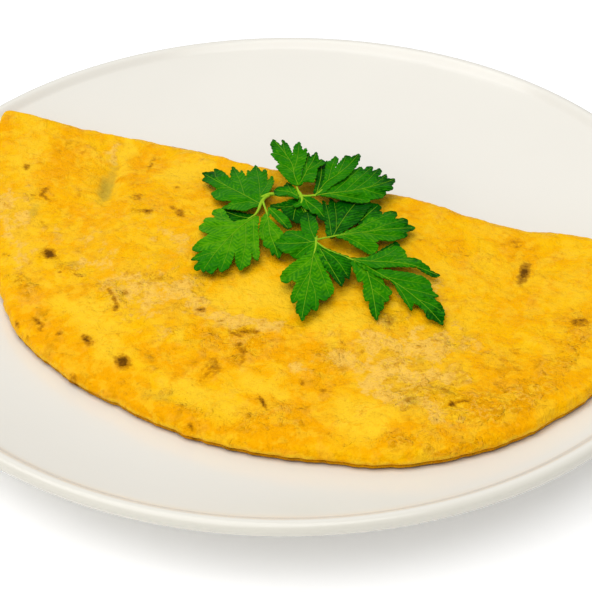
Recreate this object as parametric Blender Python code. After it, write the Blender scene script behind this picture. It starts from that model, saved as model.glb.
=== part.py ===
"""A folded omelette on a round coupe plate, with a sprig of flat-leaf parsley on top.

Metres, +Z up. The origin is the middle of the plate's foot ring, on the table.
The omelette is a half-moon: its rounded fold lies at the back and its arc at the front,
where the edge of the upper flap hangs a little over the lower one.
"""

import math

import bmesh
import bpy
import numpy as np

MM = 0.001

# Plate: one turned dish, flat in the well and curving up to a rounded lip
PLATE_RADIUS = 135.0 * MM
PLATE_STEPS = 64
WELL_RADIUS = 68.0 * MM
WELL_HEIGHT = 6.0 * MM
DISH_RISE = 17.0 * MM
DISH_POWER = 1.8
DISH_RINGS = 7
LIP_RADIUS = 2.1 * MM
LIP_START = PLATE_RADIUS - LIP_RADIUS
LIP_ANGLES = (100, 55, 10, -35)
WALL = 4.2 * MM
UNDER_RINGS = 5
FOOT_OUTER = 79.0 * MM
FOOT_INNER = 71.0 * MM
FOOT_HEIGHT = 2.8 * MM
FOOT_BEVEL = 1.0 * MM
RECESS_HEIGHT = 2.0 * MM

# Omelette: where the middle of its fold lies on the plate, and which way the fold runs
FOLD_MIDDLE = (18.0 * MM, 26.0 * MM)
FOLD_TURN = math.radians(-23.0)
# distance in mm from the fold's middle to the arc, at angles from the fold's right end
ARC = ((0, 117.5), (25, 124.2), (36, 127.8), (48, 131.8), (55, 133.0), (62, 132.4), (71, 128.0),
       (80, 126.4), (90, 124.7), (100, 122.9), (108, 123.8), (116, 124.3), (124, 124.2), (132, 122.0),
       (155, 124.8), (172, 131.5), (180, 134.0))
# how far in mm the fold's back edge lies in front of its straight line, along that line
FOLD_EDGE = ((-134, 8.0), (-110, 3.0), (-72, -5.5), (-30, -4.0), (22, -4.0), (34, -3.5),
             (55, -0.5), (85, -1.5), (119, 4.0))
CORNER_ROUNDING = 3.0 * MM
OUTLINE_STEP = 0.5 * MM
OUTLINE_POINTS = 96
# the sections run in from the outline to a spine, and a few at each corner share its end
SPINE = ((-80, 44.0), (74, 46.0))
CORNER_SECTIONS = 5
EDGE_THICKNESS = 4.6 * MM
BODY_THICKNESS = 13.0 * MM
THICKENING_REACH = 18.0 * MM
FOLD_SWELL = 1.0 * MM
FOLD_REACH = 9.0 * MM
FOLD_ROUNDING = math.radians(84.0)
REST_GAP = 0.45 * MM
# upper flap's edge, the slot under it and the lower flap's edge: inset and height in mm,
# where None stands for the omelette's own thickness there
FLAP_EDGE = ((8.0, None), (4.0, None), (1.5, None), (0.4, 3.7), (0.0, 2.6), (0.6, 1.7),
             (5.8, 1.6), (5.6, 1.1), (3.4, 1.0), (2.6, 0.7), (2.8, 0.3), (4.4, 0.0))
# shares of the way from the outline to the spine, over the top and back underneath
TOP_SHARES = (1.0, 0.8, 0.62, 0.46, 0.32, 0.2)
UNDER_SHARES = (0.2, 0.5, 1.0)
# a long dimple pressed into the top, which points this far round from straight ahead
DIMPLE_AT = (-77.0 * MM, 29.0 * MM)
DIMPLE_SIZE = (3.5 * MM, 11.0 * MM)
DIMPLE_TURN = math.radians(25.0)
DIMPLE_DEPTH = 2.5 * MM
# slow waves of the top: height, length along the fold, length across it (mm) and phase
WAVES = ((0.70, 61.0, 20.0, 0.4), (0.55, -38.0, 47.0, 1.9), (0.45, 27.0, -31.0, 0.9))

# Parsley: for each blade its base, where it joins the stalk, and the tips of its lobes, in mm
BLADES = (
    ((-9, 6, 24.5), ((-31, 29, 21.5), (-19, 32, 23), (-11, 32, 23.5), (-6, 25, 23.5), (-27, 18, 21.5),
                     (-23, 10, 21.5))),
    ((-10, 1, 24), ((-26, 5, 22), (-30, -3, 21.5), (-31, -16, 21), (-26, -26, 21), (-15, -26, 21),
                    (-10, -20, 21))),
    ((-8, 2, 24.5), ((-3, -19, 21), (3, -6, 22.5))),
    ((4, 7, 27), ((-5, 36, 31), (4, 34, 31), (9, 29, 30), (-4, 24, 29))),
    ((4, 4, 26.5), ((-5, 15, 25), (2, 1, 24.5))),
    ((5, 8, 27), ((16, 29, 28.5), (24, 31, 28.5), (12, 29, 27))),
    ((8, 9, 26.5), ((30, 25, 27), (36, 19, 26), (32, 10, 25))),
    ((9, -17, 25.5), ((-1, -3, 23), (-6, -15, 22), (-1, -22, 21.5))),
    ((9, -17, 25.5), ((4, -50, 21), (-2, -31, 21.5), (14, -39, 21.5), (17, -34, 21.5), (20, -24, 23))),
    ((10, -16, 25.5), ((41, -7, 24), (32, 4, 24.5), (27, -17, 23))),
    ((12, -14, 25), ((21, 5, 25), (27, 6, 25), (15, 4, 25))),
    ((20, -26, 24.5), ((47, -50, 21), (47, -40, 21.5), (27, -50, 21), (32, -39, 21.5))),
    ((25, -26, 24.5), ((48, -30, 22.5), (37, -19, 23.5))),
)
# stalks through the blades' bases, in mm; the first one carries the others
STALKS = (
    ((-10, 1, 24), (-9, 6, 24.5), (-6, 10, 25), (-1, 9, 25.5), (4, 7, 26.5), (7, -2, 26), (9, -17, 25.5),
     (15, -21, 24.5), (20, -25, 24.5), (25, -25, 24.5)),
    ((4, 7, 26.5), (8, 9, 26.5)),
)
BLADE_THICKNESS = 0.9 * MM
BLADE_POINTS = 44
BLADE_NECK = 1.2 * MM
LOBE_HALF_WIDTH = 3.8 * MM
LOBE_SHARE = 0.44
LOBE_PULL = 6.0
WEB_SHARE = 0.42
TOOTH_DEPTH = 0.10
TOOTH_PITCH = 2.5
LEAF_CLEARANCE = 0.7 * MM
STALK_RADIUS = 0.8 * MM

# linear base colours and roughness
EGG = ((0.85, 0.47, 0.02), 0.5)
GLAZE = ((0.84, 0.81, 0.73), 0.15)
PARSLEY = ((0.05, 0.20, 0.01), 0.55)


def clear_scene():
    for item in list(bpy.data.objects):
        bpy.data.objects.remove(item, do_unlink=True)


def make_material(name, finish):
    colour, roughness = finish
    material = bpy.data.materials.new(name)
    material.use_nodes = True
    shader = material.node_tree.nodes["Principled BSDF"]
    shader.inputs["Base Color"].default_value = (*colour, 1.0)
    shader.inputs["Roughness"].default_value = roughness
    shader.inputs["Metallic"].default_value = 0.0
    return material


def add_object(name, mesh, material):
    item = bpy.data.objects.new(name, mesh)
    bpy.context.scene.collection.objects.link(item)
    mesh.materials.append(material)
    return item


def smooth_curve(points, at):
    """Read a smooth curve through a few (position, value) points."""
    xs, ys = (np.array(column, float) for column in zip(*points))
    slopes = np.gradient(ys, xs)
    at = np.clip(at, xs[0], xs[-1])
    k = np.clip(np.searchsorted(xs, at) - 1, 0, len(xs) - 2)
    span = xs[k + 1] - xs[k]
    t = (at - xs[k]) / span
    rise = ys[k + 1] - ys[k]
    start = slopes[k] * span
    end = slopes[k + 1] * span
    return ys[k] + t * (start + t * (3 * rise - 2 * start - end + t * (start + end - 2 * rise)))


# ---------------------------------------------------------------- plate

def dish_height(radius):
    """Height of the plate's upper surface at a distance from its middle."""
    reach = np.maximum(radius - WELL_RADIUS, 0.0) / (LIP_START - WELL_RADIUS)
    return WELL_HEIGHT + DISH_RISE * reach ** DISH_POWER


def plate_profile():
    """Half section of the plate, from the middle of the well round the lip to the underside."""
    inner_end = LIP_START - LIP_RADIUS
    profile = [(0.0, WELL_HEIGHT), (WELL_RADIUS / 2, WELL_HEIGHT)]
    for radius in np.linspace(WELL_RADIUS, inner_end, DISH_RINGS):
        profile.append((radius, float(dish_height(radius))))
    lip_height = WELL_HEIGHT + DISH_RISE - LIP_RADIUS / 2
    for angle in LIP_ANGLES:
        turn = math.radians(angle)
        profile.append((LIP_START + LIP_RADIUS * math.cos(turn), lip_height + LIP_RADIUS * math.sin(turn)))
    for radius in np.linspace(inner_end, FOOT_OUTER + 2 * FOOT_BEVEL, UNDER_RINGS):
        profile.append((radius, float(dish_height(radius)) - WALL))
    profile += [(FOOT_OUTER, FOOT_HEIGHT - FOOT_BEVEL), (FOOT_OUTER - FOOT_BEVEL, 0.0),
                (FOOT_INNER + FOOT_BEVEL, 0.0), (FOOT_INNER, RECESS_HEIGHT), (0.0, RECESS_HEIGHT)]
    return profile


def build_plate(material):
    points = [(radius, 0.0, height) for radius, height in plate_profile()]
    mesh = bpy.data.meshes.new("plate")
    mesh.from_pydata(points, [(k, k + 1) for k in range(len(points) - 1)], [])
    plate = add_object("plate", mesh, material)
    turned = plate.modifiers.new("turned", "SCREW")
    turned.axis = "Z"
    turned.steps = PLATE_STEPS
    turned.render_steps = PLATE_STEPS
    turned.use_merge_vertices = True
    turned.merge_threshold = 0.0001
    turned.use_smooth_shade = True
    return plate


# ---------------------------------------------------------------- omelette
# Its own coordinates are (along the fold, in front of the fold), from the fold's middle.

def to_plate(along, front):
    cos, sin = math.cos(FOLD_TURN), math.sin(FOLD_TURN)
    return FOLD_MIDDLE[0] + cos * along + sin * front, FOLD_MIDDLE[1] + sin * along - cos * front


def from_plate(x, y):
    cos, sin = math.cos(FOLD_TURN), math.sin(FOLD_TURN)
    dx, dy = x - FOLD_MIDDLE[0], y - FOLD_MIDDLE[1]
    return cos * dx + sin * dy, sin * dx - cos * dy


def arc_distance(along, front):
    """How far a point lies inside the arc, measured towards the middle of the fold."""
    angle = np.degrees(np.arctan2(np.maximum(front, 0.0), along))
    return smooth_curve(ARC, angle) * MM - np.hypot(along, front)


def thickness(along, front):
    """Thickness of the omelette: thin along the arc, full at the fold, uneven all over."""
    inside = np.maximum(arc_distance(along, front), 0.0)
    rise = 1.0 - np.exp(-inside / THICKENING_REACH)
    value = EDGE_THICKNESS + (BODY_THICKNESS - EDGE_THICKNESS) * rise
    value = value + FOLD_SWELL * rise * np.exp(-(front / FOLD_REACH) ** 2)
    for height, run_along, run_front, phase in WAVES:
        wave = np.sin(along / (run_along * MM) + front / (run_front * MM) + phase)
        value = value + height * MM * rise * wave
    right, down = along - DIMPLE_AT[0], front - DIMPLE_AT[1]
    cos, sin = math.cos(DIMPLE_TURN), math.sin(DIMPLE_TURN)
    across = (cos * right - sin * down) / DIMPLE_SIZE[0]
    length = (sin * right + cos * down) / DIMPLE_SIZE[1]
    return value - DIMPLE_DEPTH * np.exp(-across ** 2 - length ** 2)


def underside(along, front):
    """Height of the omelette's underside, which follows the plate."""
    x, y = to_plate(along, front)
    return dish_height(np.minimum(np.hypot(x, y), LIP_START)) + REST_GAP


def soften(values, reach):
    """Blur values sampled every OUTLINE_STEP round a closed loop."""
    count = int(4 * reach / OUTLINE_STEP)
    offsets = np.arange(-count, count + 1)
    weights = np.exp(-0.5 * (offsets * OUTLINE_STEP / reach) ** 2)
    weights /= weights.sum()
    return sum(weight * np.roll(values, k, axis=0) for k, weight in zip(offsets, weights))


def outline():
    """Points round the omelette's plan, left corner first, along the arc and back by the fold.

    Returns the points and, for each, how much it belongs to the open arc (1) or the fold (0).
    """
    left, right = (math.atan2(front, along) for along, front in (FOLD_EDGE[0], FOLD_EDGE[-1]))
    angles = np.linspace(left, right, 400)
    reach = smooth_curve(ARC, np.degrees(angles)) * MM
    arc = np.stack([reach * np.cos(angles), reach * np.sin(angles)], 1)
    along = np.linspace(FOLD_EDGE[-1][0], FOLD_EDGE[0][0], 300)
    fold = np.stack([along * MM, smooth_curve(FOLD_EDGE, along) * MM], 1)
    dense = np.concatenate([arc, fold, arc[:1]])
    place = np.concatenate([[0.0], np.cumsum(np.hypot(*np.diff(dense, axis=0).T))])
    even = np.arange(0.0, place[-1], OUTLINE_STEP)
    loop = np.stack([np.interp(even, place, dense[:, k]) for k in (0, 1)], 1)
    arc_length = place[len(arc)]
    on_arc = (even < arc_length).astype(float)
    loop = soften(loop, CORNER_ROUNDING)
    on_arc = soften(on_arc, 1.5 * CORNER_ROUNDING)
    half = OUTLINE_POINTS // 2
    turn = int(np.searchsorted(even, arc_length))
    arc_picks = np.linspace(0, turn, half + 1)[:-1]
    fold_picks = np.linspace(turn, len(even), half + 1)[:-1]
    picks = np.round(np.concatenate([arc_picks, fold_picks])).astype(int)
    return loop[picks], on_arc[picks]


def spine_targets():
    """For each outline point, the point on the spine that its section runs to."""
    half = OUTLINE_POINTS // 2
    place = np.arange(OUTLINE_POINTS)
    place = np.minimum(place, OUTLINE_POINTS - place)
    share = np.clip((place - CORNER_SECTIONS) / (half - 2 * CORNER_SECTIONS), 0.0, 1.0)[:, None]
    left, right = (np.array(point) * MM for point in SPINE)
    return left + share * (right - left)


def omelette_section(edge, target, on_arc):
    """One section from the spine over the top, round the edge and back underneath."""
    length = float(np.hypot(*(target - edge)))
    inward = (target - edge) / length
    points = []
    for share in TOP_SHARES:
        along, front = edge + inward * (length * share)
        points.append((along, front, underside(along, front) + thickness(along, front)))
    fold_half = 0.5 * float(thickness(*(edge + inward * 0.5 * BODY_THICKNESS)))
    turns = np.linspace(FOLD_ROUNDING, -FOLD_ROUNDING, len(FLAP_EDGE))
    for (inset, height), turn in zip(FLAP_EDGE, turns):
        along, front = edge + inward * inset * MM
        height = thickness(along, front) if height is None else height * MM
        inset = on_arc * inset * MM + (1.0 - on_arc) * fold_half * (1.0 - math.cos(turn))
        height = on_arc * height + (1.0 - on_arc) * fold_half * (1.0 + math.sin(turn))
        along, front = edge + inward * inset
        points.append((along, front, underside(along, front) + height))
    for share in UNDER_SHARES:
        along, front = edge + inward * (length * share)
        points.append((along, front, underside(along, front)))
    return points


def build_omelette(material):
    edges, on_arc = outline()
    shape = bmesh.new()
    sections = []
    for edge, target, share in zip(edges, spine_targets(), on_arc):
        section = omelette_section(edge, target, float(share))
        sections.append([shape.verts.new((along, -front, height)) for along, front, height in section])
    for here, after in zip(sections, sections[1:] + sections[:1]):
        for k in range(len(here) - 1):
            shape.faces.new((here[k], here[k + 1], after[k + 1], after[k]))
    bmesh.ops.remove_doubles(shape, verts=shape.verts, dist=0.00001)
    bmesh.ops.triangulate(shape, faces=shape.faces)
    mesh = bpy.data.meshes.new("omelette")
    shape.to_mesh(mesh)
    shape.free()
    mesh.shade_smooth()
    omelette = add_object("omelette", mesh, material)
    omelette.location = (*FOLD_MIDDLE, 0.0)
    omelette.rotation_euler = (0.0, 0.0, FOLD_TURN)
    return omelette


# ---------------------------------------------------------------- parsley

def lobe_reach(angle, aim, length):
    """How far a lobe reaches from the blade's base at an angle.

    The lobe is an ellipse that ends at the lobe's tip, with teeth along its edge.
    """
    off = (angle - aim + math.pi) % (2 * math.pi) - math.pi
    half_length = LOBE_SHARE * length
    shift = (length - half_length) / half_length
    along = math.cos(off) / half_length
    across = math.sin(off) / LOBE_HALF_WIDTH
    square = along * along + across * across
    root = (along * shift) ** 2 - square * (shift * shift - 1.0)
    if root < 0.0 or along < 0.0:
        return 0.0
    teeth = 1.0 - TOOTH_DEPTH * abs(math.sin(TOOTH_PITCH * length * off / LOBE_HALF_WIDTH))
    return teeth * (along * shift + math.sqrt(root)) / square


def blade_outline(base, tips):
    """Points round one blade, each at its height between the base and the nearest tips."""
    steps = [tip - base for tip in tips]
    aims = [math.atan2(step[1], step[0]) for step in steps]
    lengths = [math.hypot(step[0], step[1]) for step in steps]
    web = WEB_SHARE * min(lengths)
    points = []
    for angle in np.linspace(0.0, 2 * math.pi, BLADE_POINTS, endpoint=False):
        pulls = [math.exp(LOBE_PULL * (math.cos(angle - aim) - 1.0)) for aim in aims]
        reach = max(lobe_reach(angle, aim, length) for aim, length in zip(aims, lengths))
        reach = max(reach, web * min(1.0, 1.5 * max(pulls)) ** 2, BLADE_NECK)
        slope = sum(pull * step[2] / length for pull, step, length in zip(pulls, steps, lengths)) / sum(pulls)
        points.append(base + reach * np.array((math.cos(angle), math.sin(angle), slope)))
    return points


def lift_off_omelette(point):
    """A point of a blade, raised where it would lie lower than the omelette's top."""
    along, front = from_plate(point[0], point[1])
    if arc_distance(along, front) > 0.0 and front > 0.0:
        top = float(underside(along, front) + thickness(along, front))
        return np.array((point[0], point[1], max(point[2], top + LEAF_CLEARANCE)))
    return point


def build_blade(name, base, tips):
    base = np.array(base) * MM
    edge = [lift_off_omelette(point) for point in blade_outline(base, [np.array(tip) * MM for tip in tips])]
    shape = bmesh.new()
    layers = []
    for rise in (0.0, BLADE_THICKNESS):
        up = np.array((0.0, 0.0, rise))
        layers.append((shape.verts.new(base + up), [shape.verts.new(point + up) for point in edge]))
    (low_middle, low), (high_middle, high) = layers
    for k in range(BLADE_POINTS):
        after = (k + 1) % BLADE_POINTS
        shape.faces.new((low_middle, low[after], low[k]))
        shape.faces.new((high_middle, high[k], high[after]))
        shape.faces.new((low[k], low[after], high[after], high[k]))
    mesh = bpy.data.meshes.new(name)
    shape.to_mesh(mesh)
    shape.free()
    return mesh


def build_stalk(name, points):
    curve = bpy.data.curves.new(name, "CURVE")
    curve.dimensions = "3D"
    curve.bevel_depth = STALK_RADIUS
    curve.bevel_resolution = 1
    curve.use_fill_caps = True
    spline = curve.splines.new("POLY")
    spline.points.add(len(points) - 1)
    for knot, (x, y, z) in zip(spline.points, points):
        knot.co = (x * MM, y * MM, z * MM + BLADE_THICKNESS / 2, 1.0)
    sweep = bpy.data.objects.new(name, curve)
    mesh = bpy.data.meshes.new_from_object(sweep)
    bpy.data.objects.remove(sweep)
    return mesh


def build_sprig(material):
    """One solid: the main stalk, with every blade and side stalk united to it."""
    growth = bpy.data.collections.new("growth")
    bpy.context.scene.collection.children.link(growth)
    meshes = [build_blade(f"blade_{k}", base, tips) for k, (base, tips) in enumerate(BLADES)]
    meshes += [build_stalk(f"side_stalk_{k}", points) for k, points in enumerate(STALKS[1:])]
    for mesh in meshes:
        item = bpy.data.objects.new(mesh.name, mesh)
        item.hide_render = True
        item.display_type = "WIRE"
        growth.objects.link(item)
    sprig = add_object("parsley_sprig", build_stalk("parsley_sprig", STALKS[0]), material)
    union = sprig.modifiers.new("growth", "BOOLEAN")
    union.operation = "UNION"
    union.operand_type = "COLLECTION"
    union.collection = growth
    union.solver = "EXACT"
    union.use_self = True
    return sprig


clear_scene()
build_plate(make_material("glaze", GLAZE))
build_omelette(make_material("egg", EGG))
build_sprig(make_material("parsley", PARSLEY))
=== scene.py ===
import math

import bpy
import numpy as np
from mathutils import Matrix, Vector
from mathutils.geometry import delaunay_2d_cdt


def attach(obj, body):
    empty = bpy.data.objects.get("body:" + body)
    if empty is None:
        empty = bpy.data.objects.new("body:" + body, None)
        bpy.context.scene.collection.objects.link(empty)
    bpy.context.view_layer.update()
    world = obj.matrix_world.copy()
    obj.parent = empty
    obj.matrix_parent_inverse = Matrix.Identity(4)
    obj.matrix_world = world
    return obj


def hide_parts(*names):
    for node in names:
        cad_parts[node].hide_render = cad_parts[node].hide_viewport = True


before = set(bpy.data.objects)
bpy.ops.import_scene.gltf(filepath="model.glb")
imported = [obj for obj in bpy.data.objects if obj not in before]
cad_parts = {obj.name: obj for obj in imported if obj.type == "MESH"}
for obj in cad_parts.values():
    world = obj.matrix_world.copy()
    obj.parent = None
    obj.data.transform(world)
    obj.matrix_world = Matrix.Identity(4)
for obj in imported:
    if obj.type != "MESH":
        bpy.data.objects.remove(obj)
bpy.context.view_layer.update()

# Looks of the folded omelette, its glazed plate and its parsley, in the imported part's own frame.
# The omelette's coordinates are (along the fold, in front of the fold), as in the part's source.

MM = 0.001

# ---------------------------------------------------------------- the part's own shapes

PLATE_RADIUS = 135.0 * MM
WELL_RADIUS = 68.0 * MM
WELL_HEIGHT = 6.0 * MM
DISH_RISE = 17.0 * MM
DISH_POWER = 1.8
LIP_RADIUS = 2.1 * MM
LIP_START = PLATE_RADIUS - LIP_RADIUS
WALL = 4.2 * MM
FOOT_OUTER = 79.0 * MM
FOOT_INNER = 71.0 * MM
FOOT_HEIGHT = 2.8 * MM
FOOT_BEVEL = 1.0 * MM
RECESS_HEIGHT = 2.0 * MM

# where the middle of the omelette's fold lies on the plate, and which way the fold runs
FOLD_MIDDLE = (18.0 * MM, 26.0 * MM)
FOLD_TURN = math.radians(-23.0)
# distance in mm from the fold's middle to the arc, at angles from the fold's right end
ARC = ((0, 117.5), (25, 124.2), (36, 127.8), (48, 131.8), (55, 133.0), (62, 132.4), (71, 128.0),
       (80, 126.4), (90, 124.7), (100, 122.9), (108, 123.8), (116, 124.3), (124, 124.2), (132, 122.0),
       (155, 124.8), (172, 131.5), (180, 134.0))
# how far in mm the fold's back edge lies in front of its straight line, along that line
FOLD_EDGE = ((-134, 8.0), (-110, 3.0), (-72, -5.5), (-30, -4.0), (22, -4.0), (34, -3.5),
             (55, -0.5), (85, -1.5), (119, 4.0))
CORNER_ROUNDING = 3.0 * MM
OUTLINE_STEP = 0.25 * MM
# the edge's sections run in from the outline to a spine, and those at each corner share its end
SPINE = ((-80, 44.0), (74, 46.0))
CORNER_SHARE = 5 / 48
EDGE_THICKNESS = 4.6 * MM
BODY_THICKNESS = 13.0 * MM
THICKENING_REACH = 18.0 * MM
FOLD_SWELL = 1.0 * MM
FOLD_REACH = 9.0 * MM
FOLD_ROUNDING = math.radians(84.0)
REST_GAP = 0.45 * MM
# upper flap's edge, the slot under it and the lower flap's edge: inset and height in mm, and 1
# where the omelette's own thickness there stands for the height
FLAP_EDGE = ((8.0, 4.6, 1), (4.0, 4.6, 1), (1.5, 4.6, 1), (0.4, 3.5, 0), (0.0, 2.3, 0), (0.4, 1.5, 0),
             (1.6, 1.35, 0), (1.4, 1.2, 0), (0.9, 1.0, 0), (0.7, 0.6, 0), (0.9, 0.15, 0), (3.0, 0.0, 0))
# a long dimple pressed into the top, which points this far round from straight ahead
DIMPLE_AT = (-77.0 * MM, 29.0 * MM)
DIMPLE_SIZE = (3.5 * MM, 11.0 * MM)
DIMPLE_TURN = math.radians(25.0)
DIMPLE_DEPTH = 2.5 * MM
# slow waves of the top: height, length along the fold, length across it (mm) and phase
WAVES = ((0.70, 61.0, 20.0, 0.4), (0.55, -38.0, 47.0, 1.9), (0.45, 27.0, -31.0, 0.9))


def smooth_curve(points, at):
    """Read a smooth curve through a few (position, value) points."""
    xs, ys = (np.array(column, float) for column in zip(*points))
    slopes = np.gradient(ys, xs)
    at = np.clip(at, xs[0], xs[-1])
    k = np.clip(np.searchsorted(xs, at) - 1, 0, len(xs) - 2)
    span = xs[k + 1] - xs[k]
    t = (at - xs[k]) / span
    rise = ys[k + 1] - ys[k]
    start = slopes[k] * span
    end = slopes[k + 1] * span
    return ys[k] + t * (start + t * (3 * rise - 2 * start - end + t * (start + end - 2 * rise)))


def smooth_step(low, high, value):
    """Ease from 0 at the low value to 1 at the high one."""
    t = np.clip((value - low) / (high - low), 0.0, 1.0)
    return t * t * (3.0 - 2.0 * t)


def beside_segment(x, y, start, end):
    """For each place: which share of a segment its nearest point lies at, and the gap to it."""
    run_x, run_y = end[0] - start[0], end[1] - start[1]
    share = ((x - start[0]) * run_x + (y - start[1]) * run_y) / math.hypot(run_x, run_y) ** 2
    share = np.clip(share, 0.0, 1.0)
    return share, np.hypot(x - start[0] - share * run_x, y - start[1] - share * run_y)


def dish_height(radius):
    """Height of the plate's upper surface at a distance from its middle."""
    reach = np.maximum(radius - WELL_RADIUS, 0.0) / (LIP_START - WELL_RADIUS)
    return WELL_HEIGHT + DISH_RISE * reach ** DISH_POWER


def to_plate(along, front):
    """Plate coordinates of a place on the omelette."""
    cos, sin = math.cos(FOLD_TURN), math.sin(FOLD_TURN)
    return FOLD_MIDDLE[0] + cos * along + sin * front, FOLD_MIDDLE[1] + sin * along - cos * front


def from_plate(x, y):
    """Place on the omelette of plate coordinates."""
    cos, sin = math.cos(FOLD_TURN), math.sin(FOLD_TURN)
    dx, dy = x - FOLD_MIDDLE[0], y - FOLD_MIDDLE[1]
    return cos * dx + sin * dy, sin * dx - cos * dy


def arc_distance(along, front):
    """How far a point lies inside the arc, measured towards the middle of the fold."""
    angle = np.degrees(np.arctan2(np.maximum(front, 0.0), along))
    return smooth_curve(ARC, angle) * MM - np.hypot(along, front)


def thickness(along, front):
    """Thickness of the omelette: thin along the arc, full at the fold, uneven all over."""
    inside = np.maximum(arc_distance(along, front), 0.0)
    rise = 1.0 - np.exp(-inside / THICKENING_REACH)
    value = EDGE_THICKNESS + (BODY_THICKNESS - EDGE_THICKNESS) * rise
    value = value + FOLD_SWELL * rise * np.exp(-(front / FOLD_REACH) ** 2)
    for height, run_along, run_front, phase in WAVES:
        wave = np.sin(along / (run_along * MM) + front / (run_front * MM) + phase)
        value = value + height * MM * rise * wave
    return value


def underside(along, front):
    """Height of the omelette's underside, which follows the plate."""
    x, y = to_plate(along, front)
    return dish_height(np.minimum(np.hypot(x, y), LIP_START)) + REST_GAP


# ---------------------------------------------------------------- noise

NOISE_CELLS = 64
NOISE_GAIN = 1.5
# each octave is shifted, turned (cosine and sine), finer and fainter by this than the one before
OCTAVE_SHIFT = (11.3, -7.7)
OCTAVE_TURN = (0.8, 0.6)
OCTAVE_SCALE = 1.9
OCTAVE_GAIN = 0.5


def gradient_noise(x, y, seed):
    """Smooth noise from about -1 to 1, one bump for each unit of x and y."""
    turns = np.random.default_rng(seed).uniform(0.0, math.tau, (NOISE_CELLS, NOISE_CELLS))
    left, low = np.floor(x).astype(int), np.floor(y).astype(int)
    fx, fy = x - left, y - low
    ease_x, ease_y = (f ** 3 * (f * (6 * f - 15) + 10) for f in (fx, fy))

    def corner(dx, dy):
        turn = turns[(left + dx) % NOISE_CELLS, (low + dy) % NOISE_CELLS]
        return np.cos(turn) * (fx - dx) + np.sin(turn) * (fy - dy)

    lower = corner(0, 0) + ease_x * (corner(1, 0) - corner(0, 0))
    upper = corner(0, 1) + ease_x * (corner(1, 1) - corner(0, 1))
    return NOISE_GAIN * (lower + ease_y * (upper - lower))


def fractal(x, y, seed, octaves=4):
    """Noise with finer and fainter noise on it."""
    total, weight = 0.0, 1.0
    cos, sin = OCTAVE_TURN
    for octave in range(octaves):
        shifted = (x + OCTAVE_SHIFT[0] * octave, y + OCTAVE_SHIFT[1] * octave)
        total = total + weight * gradient_noise(*shifted, seed + octave)
        x, y = OCTAVE_SCALE * (cos * x - sin * y), OCTAVE_SCALE * (sin * x + cos * y)
        weight *= OCTAVE_GAIN
    return total


# ---------------------------------------------------------------- objects and materials

def add_object(name, data):
    item = bpy.data.objects.new(name, data)
    bpy.context.scene.collection.objects.link(item)
    return item


def add_mesh(name, verts, faces, material, attributes=None):
    """An object with smooth faces, and with a number at each vertex for every attribute."""
    mesh = bpy.data.meshes.new(name)
    mesh.from_pydata([tuple(v) for v in verts], [], faces)
    mesh.shade_smooth()
    mesh.update()
    for key, values in (attributes or {}).items():
        layer = mesh.attributes.new(key, "FLOAT", "POINT")
        layer.data.foreach_set("value", np.asarray(values, np.float32))
    mesh.materials.append(material)
    return add_object(name, mesh)


def wound_faces(rings, sides):
    """Faces of a closed body whose vertices are one end, so many rings of sides, and the other end."""
    faces = []
    last = 1 + (rings - 1) * sides
    for k in range(sides):
        after = (k + 1) % sides
        faces.append((0, 1 + after, 1 + k))
        for here in range(1, last, sides):
            faces.append((here + k, here + after, here + sides + after, here + sides + k))
        faces.append((last + k, last + after, last + sides))
    return faces


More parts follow.
